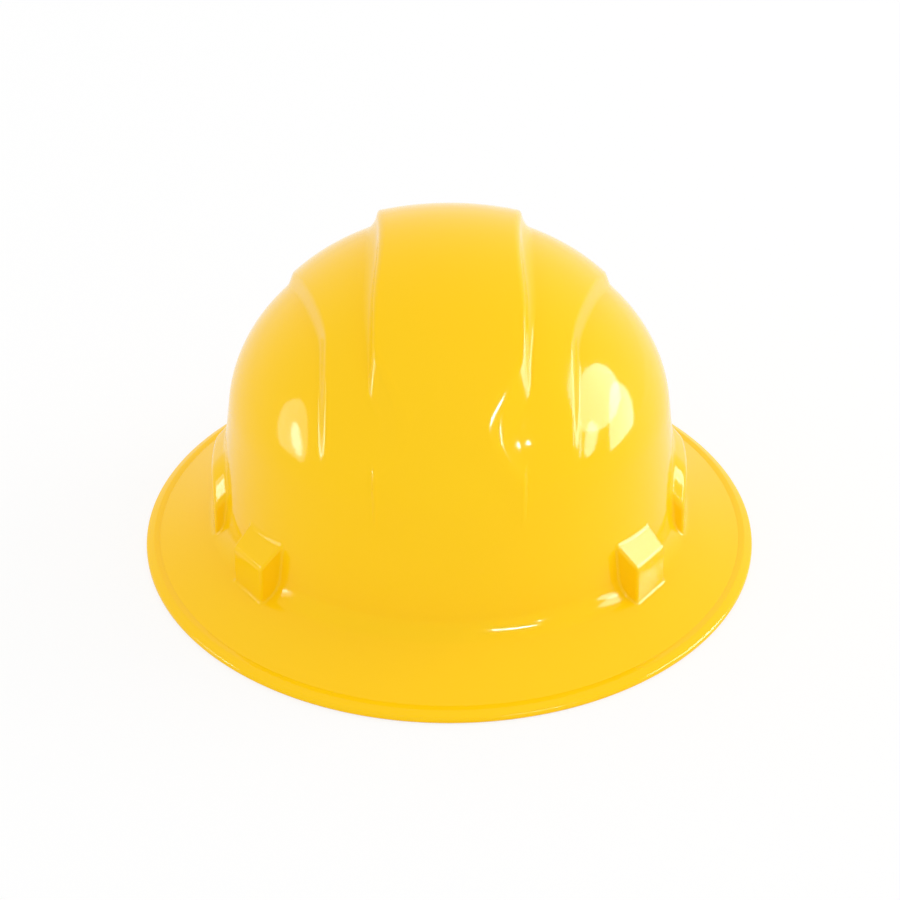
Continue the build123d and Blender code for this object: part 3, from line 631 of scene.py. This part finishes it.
def bridge(shape, one, two):
    # Faces between two rings of points.
    made = []
    for index in range(len(one)):
        after = (index + 1) % len(one)
        made.append(shape.faces.new((one[index], one[after], two[after], two[index])))
    return made


def use_form_normals(mesh):
    # Smooth corners follow the slope of the form, so reflections run clean.
    corners = np.zeros(len(mesh.loops), np.int64)
    mesh.loops.foreach_get("vertex_index", corners)
    points = mesh_points(mesh)
    ratio = np.hypot(points[:, 0], points[:, 1] / brim_share)
    normals = read_vectors(mesh.corner_normals, "vector")
    for form, side, lowest in ((outer_form, 1.0, brim_edge_height + 0.05),
                               (inner_form, -1.0, brim_root_height + 3)):
        near = (np.abs(form(points)) < normal_skin) & (points[:, 2] > lowest) & (ratio < bead_inner - 0.05)
        slope = np.zeros_like(points)
        slope[near] = gradient(form, points[near])
        slope /= np.maximum(np.linalg.norm(slope, axis=1), 1e-9)[:, None]
        wanted = slope[corners] * side
        fits = near[corners] & ((wanted * normals).sum(1) > 0.9)
        normals[fits] = wanted[fits]
    mesh.normals_split_custom_set(normals.tolist())


def loft(sections):
    # Closed mesh through upright sections, each a place along and an outline (out, up).
    shape = bmesh.new()
    rings = [[shape.verts.new((x, place, z)) for x, z in outline] for place, outline in sections]
    shape.faces.new(rings[0])
    shape.faces.new(reversed(rings[-1]))
    for one, two in zip(rings, rings[1:]):
        for index in range(len(one)):
            after = (index + 1) % len(one)
            shape.faces.new((one[after], one[index], two[index], two[after]))
    return finished_mesh("loft", shape)


def prism(outline, half_width):
    return loft([(-half_width, outline), (half_width, outline)])


def turned_copies(mesh, places):
    # The mesh moved by each matrix and brought from millimetres to metres.
    copies = []
    for place in places:
        made = mesh.copy()
        made.transform(Matrix.Scale(MM, 4) @ place)
        if place.determinant() < 0:
            made.flip_normals()
        copies.append(made)
    return copies


def joined(name, meshes):
    # One mesh of several that don't touch.
    shape = bmesh.new()
    for mesh in meshes:
        shape.from_mesh(mesh)
    return new_object(name, finished_mesh(name, shape, False))


def brim_middle(x, y):
    # Height of the middle of the brim's wall.
    return brim_height(hypot(x, y / brim_share)) - brim_drop / 2


def lug_sections():
    # Sections of a lug; its back and its foot end inside the shell's wall.
    sections = []
    end = lug_half_width + lug_flare * lug_reach
    back = -lug_bury - lug_back
    for step in range(-lug_steps, lug_steps + 1):
        along = end * step / lug_steps
        reach = lug_reach + lug_turn * along - lug_draft * lug_shoulder
        face = reach - max(0.0, abs(along) - lug_half_width) / lug_flare
        face = max(face, -lug_bury + 0.2)
        feet = []
        for out in (face, -lug_bury):
            x = lug_x + out * cos(lug_angle) - along * sin(lug_angle)
            y = lug_y + out * sin(lug_angle) + along * cos(lug_angle)
            feet.append((out, brim_middle(x, y)))
        shoulder = (face, lug_shoulder + (reach - face) * lug_pitch)
        high = (min(back, face - 0.1), lug_shoulder + (reach - back) * lug_pitch)
        sections.append((along, [feet[0], shoulder, high, feet[1]]))
    return sections


def wall_place(y, z):
    # How far to the side the dome's wall stands.
    half = dome_root - dome_draft * (z - brim_root_height)
    return half * sqrt(1 - (y / (half * dome_share)) ** 2)


def boss_sections():
    # Sections of a pocket block; its back follows the dome's wall.
    sections = []
    for step in range(-boss_steps, boss_steps + 1):
        y = boss_half_length * step / boss_steps
        face = boss_bowed(y)
        shoulder = boss_shoulder - max(0.0, abs(y) - boss_flat_half) * boss_fall
        back = wall_place(y, shoulder + boss_back_rise) - lug_bury
        low_back = wall_place(y, brim_root_height) - lug_bury
        sections.append((y, [(face, brim_middle(face, y)), (face, shoulder),
                             (back, shoulder + (face - back) * boss_pitch),
                             (low_back, brim_middle(low_back, y))]))
    return sections


def fine_blocks():
    # Lugs and bosses as fine closed meshes, laid onto their rounded forms.
    lugs = turned_copies(loft(lug_sections()), corner_places)
    bosses = turned_copies(loft(boss_sections()), side_places)
    blocks = joined("blocks", lugs + bosses)
    modify(blocks, "REMESH", mode="VOXEL", voxel_size=block_voxel * MM)
    points = mesh_points(blocks.data)
    near = (np.abs(block_form(points)) < block_skin) & (bare_form(points) > -inside_skin)
    points[near] = pulled_on(block_form, points[near], 6)
    set_points(blocks.data, points)
    return blocks


def cut_tools():
    # Key pockets and accessory slots, open below.
    pocket = [(0.0, cut_bottom), (pocket_depth, cut_bottom), (pocket_depth, pocket_top), (0.0, pocket_top)]
    inner = slot_outer - slot_gap
    slot = [(inner, cut_bottom), (slot_outer, cut_bottom), (slot_outer, slot_top), (inner, slot_top)]
    pockets = turned_copies(prism(pocket, pocket_width / 2), corner_places)
    return joined("tools", pockets + turned_copies(prism(slot, slot_length / 2), side_places))


def slot_webs():
    # Webs that close the accessory slots towards the head.
    inner = slot_outer - slot_gap - web_thickness
    top = slot_top + web_thickness
    wall = dome_root - shell_wall / 2
    high_wall = wall - dome_draft * (top - brim_root_height)
    inner_foot = brim_root_height - brim_drop + brim_slope * (dome_root - inner)
    wall_foot = brim_root_height - brim_drop + brim_slope * (dome_root - wall) + brim_wall / 2
    web = [(inner, inner_foot), (wall, wall_foot), (high_wall, top), (inner, top)]
    return joined("webs", turned_copies(prism(web, slot_length / 2 + web_thickness), side_places))


def combine(piece, tool, operation):
    modify(piece, "BOOLEAN", operation=operation, solver="MANIFOLD", object=tool)
    bpy.data.objects.remove(tool)


def make_shell():
    start, up = np.array([[0.0, 0.0, ray_height]]), np.array([[0.0, 0.0, 1.0]])
    low, high = (along_rays(form, start, up) for form in (inner_form, bare_form))
    mesh = grid_mesh("hat_shell", outside_rows() + inside_rows(), low, high)
    shell = new_object("hat_shell", mesh)
    combine(shell, fine_blocks(), "UNION")
    points = mesh_points(shell.data)
    blocks = np.minimum(np.abs(lug_distance(points)), np.abs(boss_distance(points)))
    near = np.maximum(np.abs(bare_form(points)), blocks) < seam_skin
    points[near] = pulled_on(outer_form, points[near], 5)
    set_points(shell.data, points)
    combine(shell, slot_webs(), "UNION")
    combine(shell, cut_tools(), "DIFFERENCE")
    shell.data.shade_smooth()
    triangles = sum(len(face.vertices) - 2 for face in shell.data.polygons)
    modify(shell, "DECIMATE", ratio=shell_triangles / triangles)
    shell.data.set_sharp_from_angle(angle=sharp_angle)
    use_form_normals(shell.data)
    paint_sides(shell.data)
    return shell


def paint_sides(mesh):
    # Glossy outside, duller inside and under the brim.
    mesh.materials.clear()
    mesh.materials.append(shell_plastic())
    mesh.materials.append(shell_inside())
    centres = read_vectors(mesh.polygons, "center") / MM
    ratio = np.hypot(centres[:, 0], centres[:, 1] / brim_share)
    inside = (outer_form(centres) < -inside_skin) & (ratio < bead_inner)
    mesh.polygons.foreach_set("material_index", inside.astype(np.int32))


def smooth_path(points, spacing):
    # Evenly spaced points on a smooth curve through the given ones.
    knots = [2 * points[0] - points[1]] + points + [2 * points[-1] - points[-2]]
    fine = []
    for before, one, two, after in zip(knots, knots[1:], knots[2:], knots[3:]):
        for index in range(curve_steps):
            t = index / curve_steps
            fine.append(0.5 * (2 * one + (two - before) * t
                               + (2 * before - 5 * one + 4 * two - after) * t ** 2
                               + (3 * one - 3 * two + after - before) * t ** 3))
    fine.append(points[-1].copy())
    return even_path(fine, spacing)


def even_path(fine, spacing):
    reach = [0.0]
    for one, two in zip(fine, fine[1:]):
        reach.append(reach[-1] + (two - one).length)
    count = max(2, round(reach[-1] / spacing))
    made, place = [], 0
    for index in range(count + 1):
        wanted = reach[-1] * index / count
        while place < len(reach) - 2 and reach[place + 1] < wanted:
            place += 1
        gap = reach[place + 1] - reach[place]
        made.append(fine[place].lerp(fine[place + 1], (wanted - reach[place]) / max(gap, 1e-9)))
    return made


def path_step(path, index):
    # Direction of a path at one of its points, not brought to unit length.
    return path[min(index + 1, len(path) - 1)] - path[max(index - 1, 0)]


def strap_points(lift):
    # Middle line of a strap in its own upright plane, from one sewn tail to the other.
    rise = strap_top + lift - bar_middle
    steps = 26
    last = asin((strap_free_level - bar_middle) / rise)
    levels = [pi / 2 + (last - pi / 2) * index / steps for index in range(steps + 1)]
    half = [(key_radius * cos(level), bar_middle + rise * sin(level)) for level in levels]
    inset = strap_thickness + 0.12
    start = asin((strap_tail_level - bar_middle) / (rise - inset))
    levels = [start + strap_tail / key_radius * 1.25 * index / 8 for index in range(9)]
    tail = [((key_radius - inset) * cos(level), bar_middle + (rise - inset) * sin(level))
            for level in levels]
    half += bar_wrap + tail
    mirrored = [(-x, z) for x, z in reversed(half[1:])]
    return [Vector((x, 0.0, z)) for x, z in mirrored + half]


def strap_section():
    # Flat section of woven strap with soft selvedges: (across, out).
    half, thick = strap_width / 2, strap_thickness / 2
    side = [(half - 0.9, thick), (half - 0.35, thick * 0.86), (half - 0.05, thick * 0.4)]
    right = side + [(x, -z) for x, z in reversed(side)]
    left = [(-x, z) for x, z in reversed(right)]
    shares = (0.6, 0.2, -0.2, -0.6)
    return (right + [(half * share, -thick) for share in shares]
            + left + [(-half * share, thick) for share in shares])


def square_to(step):
    # The strap's thickness direction, square to a step of its path.
    return Vector((-step.z, 0.0, step.x))


def make_strap(name, lift, direction):
    # Band in the part's own webbing material; its UV map follows the band, for a weave.
    path = smooth_path(strap_points(lift), strap_step)
    section = strap_section()
    along = Vector((cos(key_angle) * direction, -sin(key_angle), 0.0))
    across = Vector((sin(key_angle), cos(key_angle) * direction, 0.0))
    shape = bmesh.new()
    layer = shape.loops.layers.uv.new("weave")
    rings = []
    for index, point in enumerate(path):
        out = square_to(path_step(path, index).normalized())
        rings.append([])
        for x, z in section:
            flat = point + out * z
            place = along * flat.x + across * x + Vector((0, 0, flat.z))
            rings[-1].append(shape.verts.new(place * MM))
    girth = [0.0]
    for (x0, z0), (x1, z1) in zip(section, section[1:] + section[:1]):
        girth.append(girth[-1] + hypot(x1 - x0, z1 - z0))
    for row, (one, two) in enumerate(zip(rings, rings[1:])):
        for index, face in enumerate(bridge(shape, one, two)):
            face.smooth = True
            marks = ((row, index), (row, index + 1), (row + 1, index + 1), (row + 1, index))
            for corner, (level, place) in zip(face.loops, marks):
                corner[layer].uv = (girth[place] / weave_unit, level * strap_step / weave_unit)
    shape.faces.new(rings[0])
    shape.faces.new(reversed(rings[-1]))
    strap = new_object(name, finished_mesh(name, shape))
    strap.data.materials.append(bpy.data.materials["webbing"])
    return strap, path, along, across


def stitch_mesh(shape, start, end, out, radius, rise):
    # One stitch of thread: a short tube that rises from the cloth and dips back.
    run = end - start
    side = run.cross(out).normalized()
    rings = []
    for index in range(7):
        t = index / 6
        lift = rise * (1 - (2 * t - 1) ** 4) - radius * 0.6
        centre = start + run * t + out * lift
        girth = radius * (0.75 + 0.25 * sin(pi * t))
        rings.append([shape.verts.new(centre + side * (girth * cos(turn)) + out * (girth * sin(turn)))
                      for turn in [2 * pi * step / 7 for step in range(7)]])
    for one, two in zip(rings, rings[1:]):
        for face in bridge(shape, one, two):
            face.smooth = True
    shape.faces.new(reversed(rings[0]))
    shape.faces.new(rings[-1])


def stitch_line(shape, corners, outs, pitch, length, radius, rise):
    # Stitches along a path of points, each with the cloth's outward direction there.
    spans = [(two - one).length for one, two in zip(corners, corners[1:])]
    total = sum(spans)
    count = max(1, round(total / pitch))
    for index in range(count):
        ends = []
        for offset in (0.5 - length / pitch / 2, 0.5 + length / pitch / 2):
            wanted = total * (index + offset) / count
            place = 0
            while place < len(spans) - 1 and wanted > spans[place]:
                wanted -= spans[place]
                place += 1
            share = wanted / max(spans[place], 1e-9)
            ends.append((corners[place].lerp(corners[place + 1], share),
                         outs[place].lerp(outs[place + 1], share).normalized()))
        out = (ends[0][1] + ends[1][1]).normalized()
        stitch_mesh(shape, ends[0][0], ends[1][0], out, radius, rise)


def stitched_piece(name, shape):
    mesh = finished_mesh(name, shape)
    mesh.transform(Matrix.Scale(MM, 4))
    mesh.materials.append(thread())
    return new_object(name, mesh)


def strap_stitches(name, path, along, across):
    # Box of stitches with a cross in it, on the head's side of each sewn tail.
    shape = bmesh.new()
    for tail in (path, path[::-1]):
        rows = []
        reach = 0.0
        for one, two in zip(tail, tail[1:]):
            reach += (two - one).length
            if strap_seam[0] <= reach <= strap_seam[1]:
                rows.append((reach, one, (two - one).normalized()))
        first, last = rows[0][0], rows[-1][0]

        def on_tail(share, side):
            wanted = first + (last - first) * share
            _, point, step = min(rows, key=lambda row: abs(row[0] - wanted))
            out = square_to(step)
            if out.x * point.x > 0:
                out = -out
            flat = point + out * (strap_thickness / 2 + 0.02)
            place = along * flat.x + across * (side * strap_seam_half) + Vector((0, 0, flat.z))
            return place, (along * out.x + Vector((0, 0, out.z))).normalized()
        for (share0, side0), (share1, side1) in (
                ((0, -1), (0, 1)), ((0, 1), (1, 1)), ((1, 1), (1, -1)),
                ((1, -1), (0, -1)), ((0, -1), (1, 1)), ((0, 1), (1, -1))):
            line = [on_tail(share0 + (share1 - share0) * step / 8, side0 + (side1 - side0) * step / 8)
                    for step in range(9)]
            stitch_line(shape, *zip(*line), *strap_stitch)
    return stitched_piece(name, shape)


def ellipse_track(half_across, half_along, first, last):
    # Even steps along an oval round the head: points and directions towards its middle.
    fine = []
    for index in range(oval_steps + 1):
        turn = first + (last - first) * index / oval_steps
        fine.append(Vector((half_across * sin(turn), -half_along * cos(turn), 0.0)))
    path = even_path(fine, oval_spacing)
    steps = [path_step(path, index) for index in range(len(path))]
    inwards = [Vector((-step.y, step.x, 0.0)).normalized() for step in steps]
    return path, inwards, sum((two - one).length for one, two in zip(path, path[1:]))


def simulate_padding(piece, thin, cap):
    # Air pressure swells the pad's face; its back stays on the band.
    points = mesh_points(piece.data)
    pinned = piece.vertex_groups.new(name="back")
    low = points[:, 2].min()
    pinned.add([int(index) for index in np.nonzero(points[:, 2] < low + thin * 0.35)[0]], 1.0, "REPLACE")
    cloth = piece.modifiers.new("cloth", "CLOTH")
    cloth.settings.quality = 6
    cloth.settings.mass = 0.1
    cloth.settings.use_pressure = True
    cloth.settings.uniform_pressure_force = pad_pressure
    cloth.settings.effector_weights.gravity = 0
    cloth.settings.vertex_group_mass = "back"
    cloth.point_cache.frame_start = 1
    cloth.point_cache.frame_end = pad_steps
    for frame_number in range(1, pad_steps + 1):
        scene.frame_set(frame_number)
        bpy.context.view_layer.update()
    graph = bpy.context.evaluated_depsgraph_get()
    moved = mesh_points(piece.evaluated_get(graph).data)
    piece.modifiers.clear()
    scene.frame_set(1)
    shift = moved - points
    length = np.linalg.norm(shift, axis=1)
    print("padding moved", round(float(length.max()), 3), "mm")
    scale = np.minimum(1.0, cap / np.maximum(length, 1e-9))
    set_points(piece.data, points + shift * scale[:, None])


def rounded_corners(half_along, half_up, radius, steps):
    # Points round the four corners of a flat pad.
    points = []
    for cx, cy, first in ((1, 1, 0), (-1, 1, 90), (-1, -1, 180), (1, -1, 270)):
        for step in range(steps + 1):
            turn = radians(first + 90 * step / steps)
            points.append((cx * (half_along - radius) + radius * cos(turn),
                           cy * (half_up - radius) + radius * sin(turn)))
    return points


def make_pad(name, track, low, high, thickness, node, corner):
    # A padded strip in the part's own cloth material, worked flat, then laid on its oval track.
    length, height = track[2], high - low
    middle = (low + high) / 2
    start = pad_start * thickness
    outline = rounded_corners(length / 2 - pad_edge, height / 2 - pad_edge, corner, 6)
    shape = bmesh.new()
    back = [shape.verts.new((x * MM, y * MM, 0.0)) for x, y in outline]
    face = [shape.verts.new((x * MM, y * MM, start * MM)) for x, y in outline]
    shape.faces.new(reversed(back))
    shape.faces.new(face)
    bridge(shape, back, face)
    pad = new_object(name, finished_mesh(name, shape, False))
    modify(pad, "REMESH", mode="VOXEL", voxel_size=pad_voxel * MM)
    simulate_padding(pad, start, pad_swell * thickness)
    modify(pad, "SUBSURF", levels=1, render_levels=1)
    flat = mesh_points(pad.data)
    rim = np.minimum(length / 2 - np.abs(flat[:, 0]), height / 2 - np.abs(flat[:, 1]))
    flat[:, 2] *= 1 - border_press * np.exp(-((rim - border_inset) / border_half) ** 2)
    flat[:, 2] = np.clip(flat[:, 2], 0.0, thickness)
    set_points(pad.data, laid_on(flat, track, middle))
    pad.data.shade_smooth()
    pad.data.materials.append(bpy.data.materials["pad_cloth"])
    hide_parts(node)
    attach(pad, "root")
    seam = pad_seam(name + "_seam", flat, track, height, middle, corner)
    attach(seam, "root")


def laid_on(flat, track, middle):
    # From (along, up, thickness) to the place on the oval.
    path, inwards, length = track
    points, normals = np.array(path), np.array(inwards)
    place = np.clip((flat[:, 0] / length + 0.5) * (len(path) - 1), 0, len(path) - 1.001)
    index = place.astype(int)
    share = (place - index)[:, None]
    base = points[index] * (1 - share) + points[index + 1] * share
    normal = normals[index] * (1 - share) + normals[index + 1] * share
    laid = base + normal * flat[:, 2:3]
    laid[:, 1] += head_centre
    laid[:, 2] = middle + flat[:, 1]
    return laid


def pad_seam(name, flat, track, height, middle, corner):
    # Stitches in the sewn border of a pad.
    turn_radius = max(corner - border_inset, 1.2)
    spots = rounded_corners(track[2] / 2 - border_inset, height / 2 - border_inset, turn_radius, 4)
    line = [Vector((x, y, 0.0)) for x, y in spots + spots[:1]]
    spots = np.array(even_path(line, 1.0))
    front = flat[flat[:, 2] > 0.5]
    for spot in spots:
        gap = np.hypot(front[:, 0] - spot[0], front[:, 1] - spot[1])
        spot[2] = front[gap < 1.2, 2].max() if (gap < 1.2).any() else front[gap.argmin(), 2]
    base = laid_on(spots, track, middle)
    above = laid_on(spots + (0.0, 0.0, 1.0), track, middle)
    corners = [Vector(point) for point in base]
    outs = [Vector(high_point - low_point).normalized() for high_point, low_point in zip(above, base)]
    shape = bmesh.new()
    stitch_line(shape, corners, outs, *pad_stitch)
    return stitched_piece(name, shape)


def set_inputs(tree, node, values):
    # Another node's output is linked; a number or colour goes on the socket itself.
    for key, value in values.items():
        if isinstance(value, bpy.types.NodeSocket):
            tree.links.new(value, node.inputs[key])
        else:
            node.inputs[key].default_value = value


def add_node(tree, kind, values, **settings):
    made = tree.nodes.new(kind)
    made.location.x = -200 * len(tree.nodes)
    for key, value in settings.items():
        setattr(made, key, value)
    set_inputs(tree, made, values)
    return made


def new_material(name):
    material = bpy.data.materials.new(name)
    material.use_nodes = True
    return material, material.node_tree, material.node_tree.nodes["Principled BSDF"]


def object_place(tree):
    # One node for each material.
    name = "Texture Coordinate"
    found = tree.nodes.get(name) or add_node(tree, "ShaderNodeTexCoord", {}, name=name)
    return found.outputs["Object"]


def noise(tree, scale, detail, roughness=0.5):
    values = {"Vector": object_place(tree), "Scale": scale, "Detail": detail, "Roughness": roughness}
    return add_node(tree, "ShaderNodeTexNoise", values).outputs["Fac"]


def spread(tree, value, low, high):
    # The texture's middle range spread from low to high.
    values = {"Value": value, "From Min": 0.3, "From Max": 0.7, "To Min": low, "To Max": high}
    return add_node(tree, "ShaderNodeMapRange", values).outputs["Result"]


def mixed_colour(tree, value, first, second):
    # A Mix node's inputs 6 and 7 and its output 2 are the colours.
    values = {"Factor": value, 6: (*first, 1.0), 7: (*second, 1.0)}
    return add_node(tree, "ShaderNodeMix", values, data_type="RGBA").outputs[2]


def bumps(tree, heights):
    # Bump nodes one after the other: (height, strength, distance in metres).
    values = {}
    for height, strength, distance in heights:
        values.update({"Height": height, "Strength": strength, "Distance": distance})
        values["Normal"] = add_node(tree, "ShaderNodeBump", values).outputs["Normal"]
    return values["Normal"]


def formula(tree, operation, *values):
    made = add_node(tree, "ShaderNodeMath", dict(enumerate(values)), operation=operation)
    return made.outputs["Value"]


def finish_shader(tree, shader, colour, rough, heights, more):
    # Colour: value, dark, light. Roughness: value, low, high. More: plain values.
    set_inputs(tree, shader, {"Base Color": mixed_colour(tree, *colour), "Roughness": spread(tree, *rough),
                              "Normal": bumps(tree, heights), **more})


def plastic(name, dark, light, flow, haze, rough, reliefs, more):
    # Flow mottles the colour, haze the roughness, and each relief is a noise, strength and depth.
    material, tree, shader = new_material(name)
    heights = [(noise(tree, *grain), strength, depth) for grain, strength, depth in reliefs]
    colour = (noise(tree, *flow), dark, light)
    finish_shader(tree, shader, colour, (noise(tree, *haze), *rough), heights, more)
    return material


def shell_plastic():
    # Glossy moulded yellow: a trace of flow in the colour, a faint ripple and fine dull specks.
    return plastic("shell_plastic", shell_deep, shell_bright, (9.0, 3.0), (38.0, 5.0, 0.62), (0.055, 0.105),
                   [((170.0, 1.0), 0.05, 0.0002), ((28.0, 1.0), 0.06, 0.0010)],
                   {"IOR": 1.46, "Specular IOR Level": 0.19})


def shell_inside():
    # The same plastic as the mould's core left it: duller, with a fine grain.
    return plastic("shell_inside", shell_deep, shell_bright, (14.0, 4.0), (60.0, 5.0, 0.6), (0.30, 0.42),
                   [((900.0, 3.0, 0.7), 0.25, 0.0001)], {"IOR": 1.46})


def grained_plastic(name, dark, light, rough, grain_scale, depth):
    # Moulded plastic with an eroded grain, scuffs and rubbed patches.
    reliefs = [((grain_scale, 2.0, 0.55), 0.45, depth), ((grain_scale / 8, 2.0), 0.15, depth * 2)]
    return plastic(name, dark, light, (45.0, 6.0, 0.65), (120.0, 5.0, 0.65), rough, reliefs, {"IOR": 1.5})


def screw_steel():
    # Bright plated steel with fine turned lines and rubbed spots.
    material, tree, shader = new_material("screw_steel")
    rings = {"Vector": object_place(tree), "Scale": 1500.0, "Distortion": 0.6}
    lines = add_node(tree, "ShaderNodeTexWave", rings, wave_type="RINGS", rings_direction="Y")
    finish_shader(tree, shader, (noise(tree, 400.0, 5.0), (0.50, 0.50, 0.50), (0.66, 0.66, 0.65)),
                  (noise(tree, 900.0, 5.0), 0.18, 0.38), [(lines.outputs["Fac"], 0.15, 0.00004)],
                  {"Metallic": 1.0})
    return material


@cache
def thread():
    twist = (2400.0, 3.0)
    return plastic("thread", (0.30, 0.30, 0.29), (0.52, 0.52, 0.50), twist, twist, (0.5, 0.7),
                   [(twist, 0.4, 0.00008)], {})


def dress_nodes():
    # Better materials on the solids that keep their own shape.
    for finish, names in finishes:
        use_material(grained_plastic(*finish), names)
    use_material(screw_steel(), ["knob_screw"])


def use_material(material, names):
    for name in names:
        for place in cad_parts[name].material_slots:
            place.material = material


def make_camera():
    data = bpy.data.cameras.new("camera")
    camera = new_object("camera", data)
    camera.location = camera_place
    aim = Vector(camera_target) - camera.location
    camera.rotation_euler = aim.to_track_quat("-Z", "Y").to_euler()
    data.lens = camera_lens
    data.sensor_width = 36.0
    data.shift_x, data.shift_y = camera_shift
    data.clip_start = 0.05
    data.clip_end = 50.0
    scene.camera = camera


def make_floor():
    # White sweep: seen by the camera it is mostly paper white and keeps a soft shadow.
    mesh = bpy.data.meshes.new("floor")
    corners = [(x * floor_half, y * floor_half, 0) for x, y in ((-1, -1), (1, -1), (1, 1), (-1, 1))]
    mesh.from_pydata(corners, [], [(0, 1, 2, 3)])
    floor = new_object("floor", mesh)
    material, tree, shader = new_material("floor_paper")
    set_inputs(tree, shader, {"Base Color": (0.94, 0.94, 0.94, 1), "Roughness": 0.9,
                              "Specular IOR Level": 0.0})
    glow = add_node(tree, "ShaderNodeEmission", {"Strength": 1.0})
    path = add_node(tree, "ShaderNodeLightPath", {})
    share = formula(tree, "MULTIPLY", path.outputs["Is Camera Ray"], floor_glow)
    both = add_node(tree, "ShaderNodeMixShader", {0: share, 1: shader.outputs[0], 2: glow.outputs[0]})
    set_inputs(tree, tree.nodes["Material Output"], {"Surface": both.outputs[0]})
    mesh.materials.append(material)


def softbox(name, azimuth, elevation, width, height, roll, brightness):
    # Oval lamp whose mirror image lies on the gloss: its place, size and roll in degrees as
    # the hat sees it, and its radiance.
    turn, rise = radians(azimuth), radians(elevation)
    away = Vector((sin(turn) * cos(rise), -cos(turn) * cos(rise), sin(rise)))
    width, height = (2 * box_distance * tan(radians(angle / 2)) for angle in (width, height))
    data = bpy.data.lights.new(name, "AREA")
    data.shape = "ELLIPSE"
    data.size = width
    data.size_y = height
    data.energy = brightness * pi * width * height
    lamp = new_object(name, data)
    lamp.location = Vector(box_target) + away * box_distance
    spin = (-away).to_track_quat("-Z", "Y").to_matrix() @ Matrix.Rotation(radians(roll), 3, "Z")
    lamp.rotation_euler = spin.to_euler()
    lamp.visible_diffuse = False
    return lamp


def make_world():
    # White for the camera and for reflections, and nearly as bright for the rest.
    world = bpy.data.worlds.new("studio")
    scene.world = world
    world.use_nodes = True
    tree = world.node_tree
    seen = add_node(tree, "ShaderNodeLightPath", {}).outputs
    clear = formula(tree, "MAXIMUM", seen["Is Camera Ray"], seen["Is Glossy Ray"])
    clear = formula(tree, "MAXIMUM", clear, seen["Is Transmission Ray"])
    level = add_node(tree, "ShaderNodeMapRange", {"Value": clear, "To Min": world_fill, "To Max": 1.0})
    set_inputs(tree, tree.nodes["Background"], {"Color": (1, 1, 1, 1), "Strength": level.outputs["Result"]})


scene.view_settings.view_transform = "Standard"
make_camera()
make_world()
make_floor()
for lamp in lamps:
    softbox(*lamp)
key = softbox(*key_lamp)
key.visible_diffuse = True
key.visible_glossy = False

hat_shell = make_shell()
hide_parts("shell")
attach(hat_shell, "root")

dress_nodes()
for name, node, lift, direction in (("strap_lower", "crown_strap_lower", 0.0, 1),
                                    ("strap_upper", "crown_strap_upper", strap_lift, -1)):
    strap, path, along, across = make_strap(name, lift, direction)
    seams = strap_stitches(name + "_seams", path, along, across)
    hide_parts(node)
    for piece in (strap, seams):
        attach(piece, "root")

brow_track = ellipse_track(band_side - pad_gap, band_front - pad_gap, -brow_half_angle, brow_half_angle)
make_pad("brow_cushion", brow_track, band_low - brow_overlap, band_high + brow_overlap, brow_thickness,
         "brow_pad", 6.0)
nape_track = ellipse_track(nape_back, nape_back, pi - nape_half_angle, pi + nape_half_angle)
make_pad("nape_cushion", nape_track, nape_low, nape_high, nape_thickness, "nape_pad", 5.0)
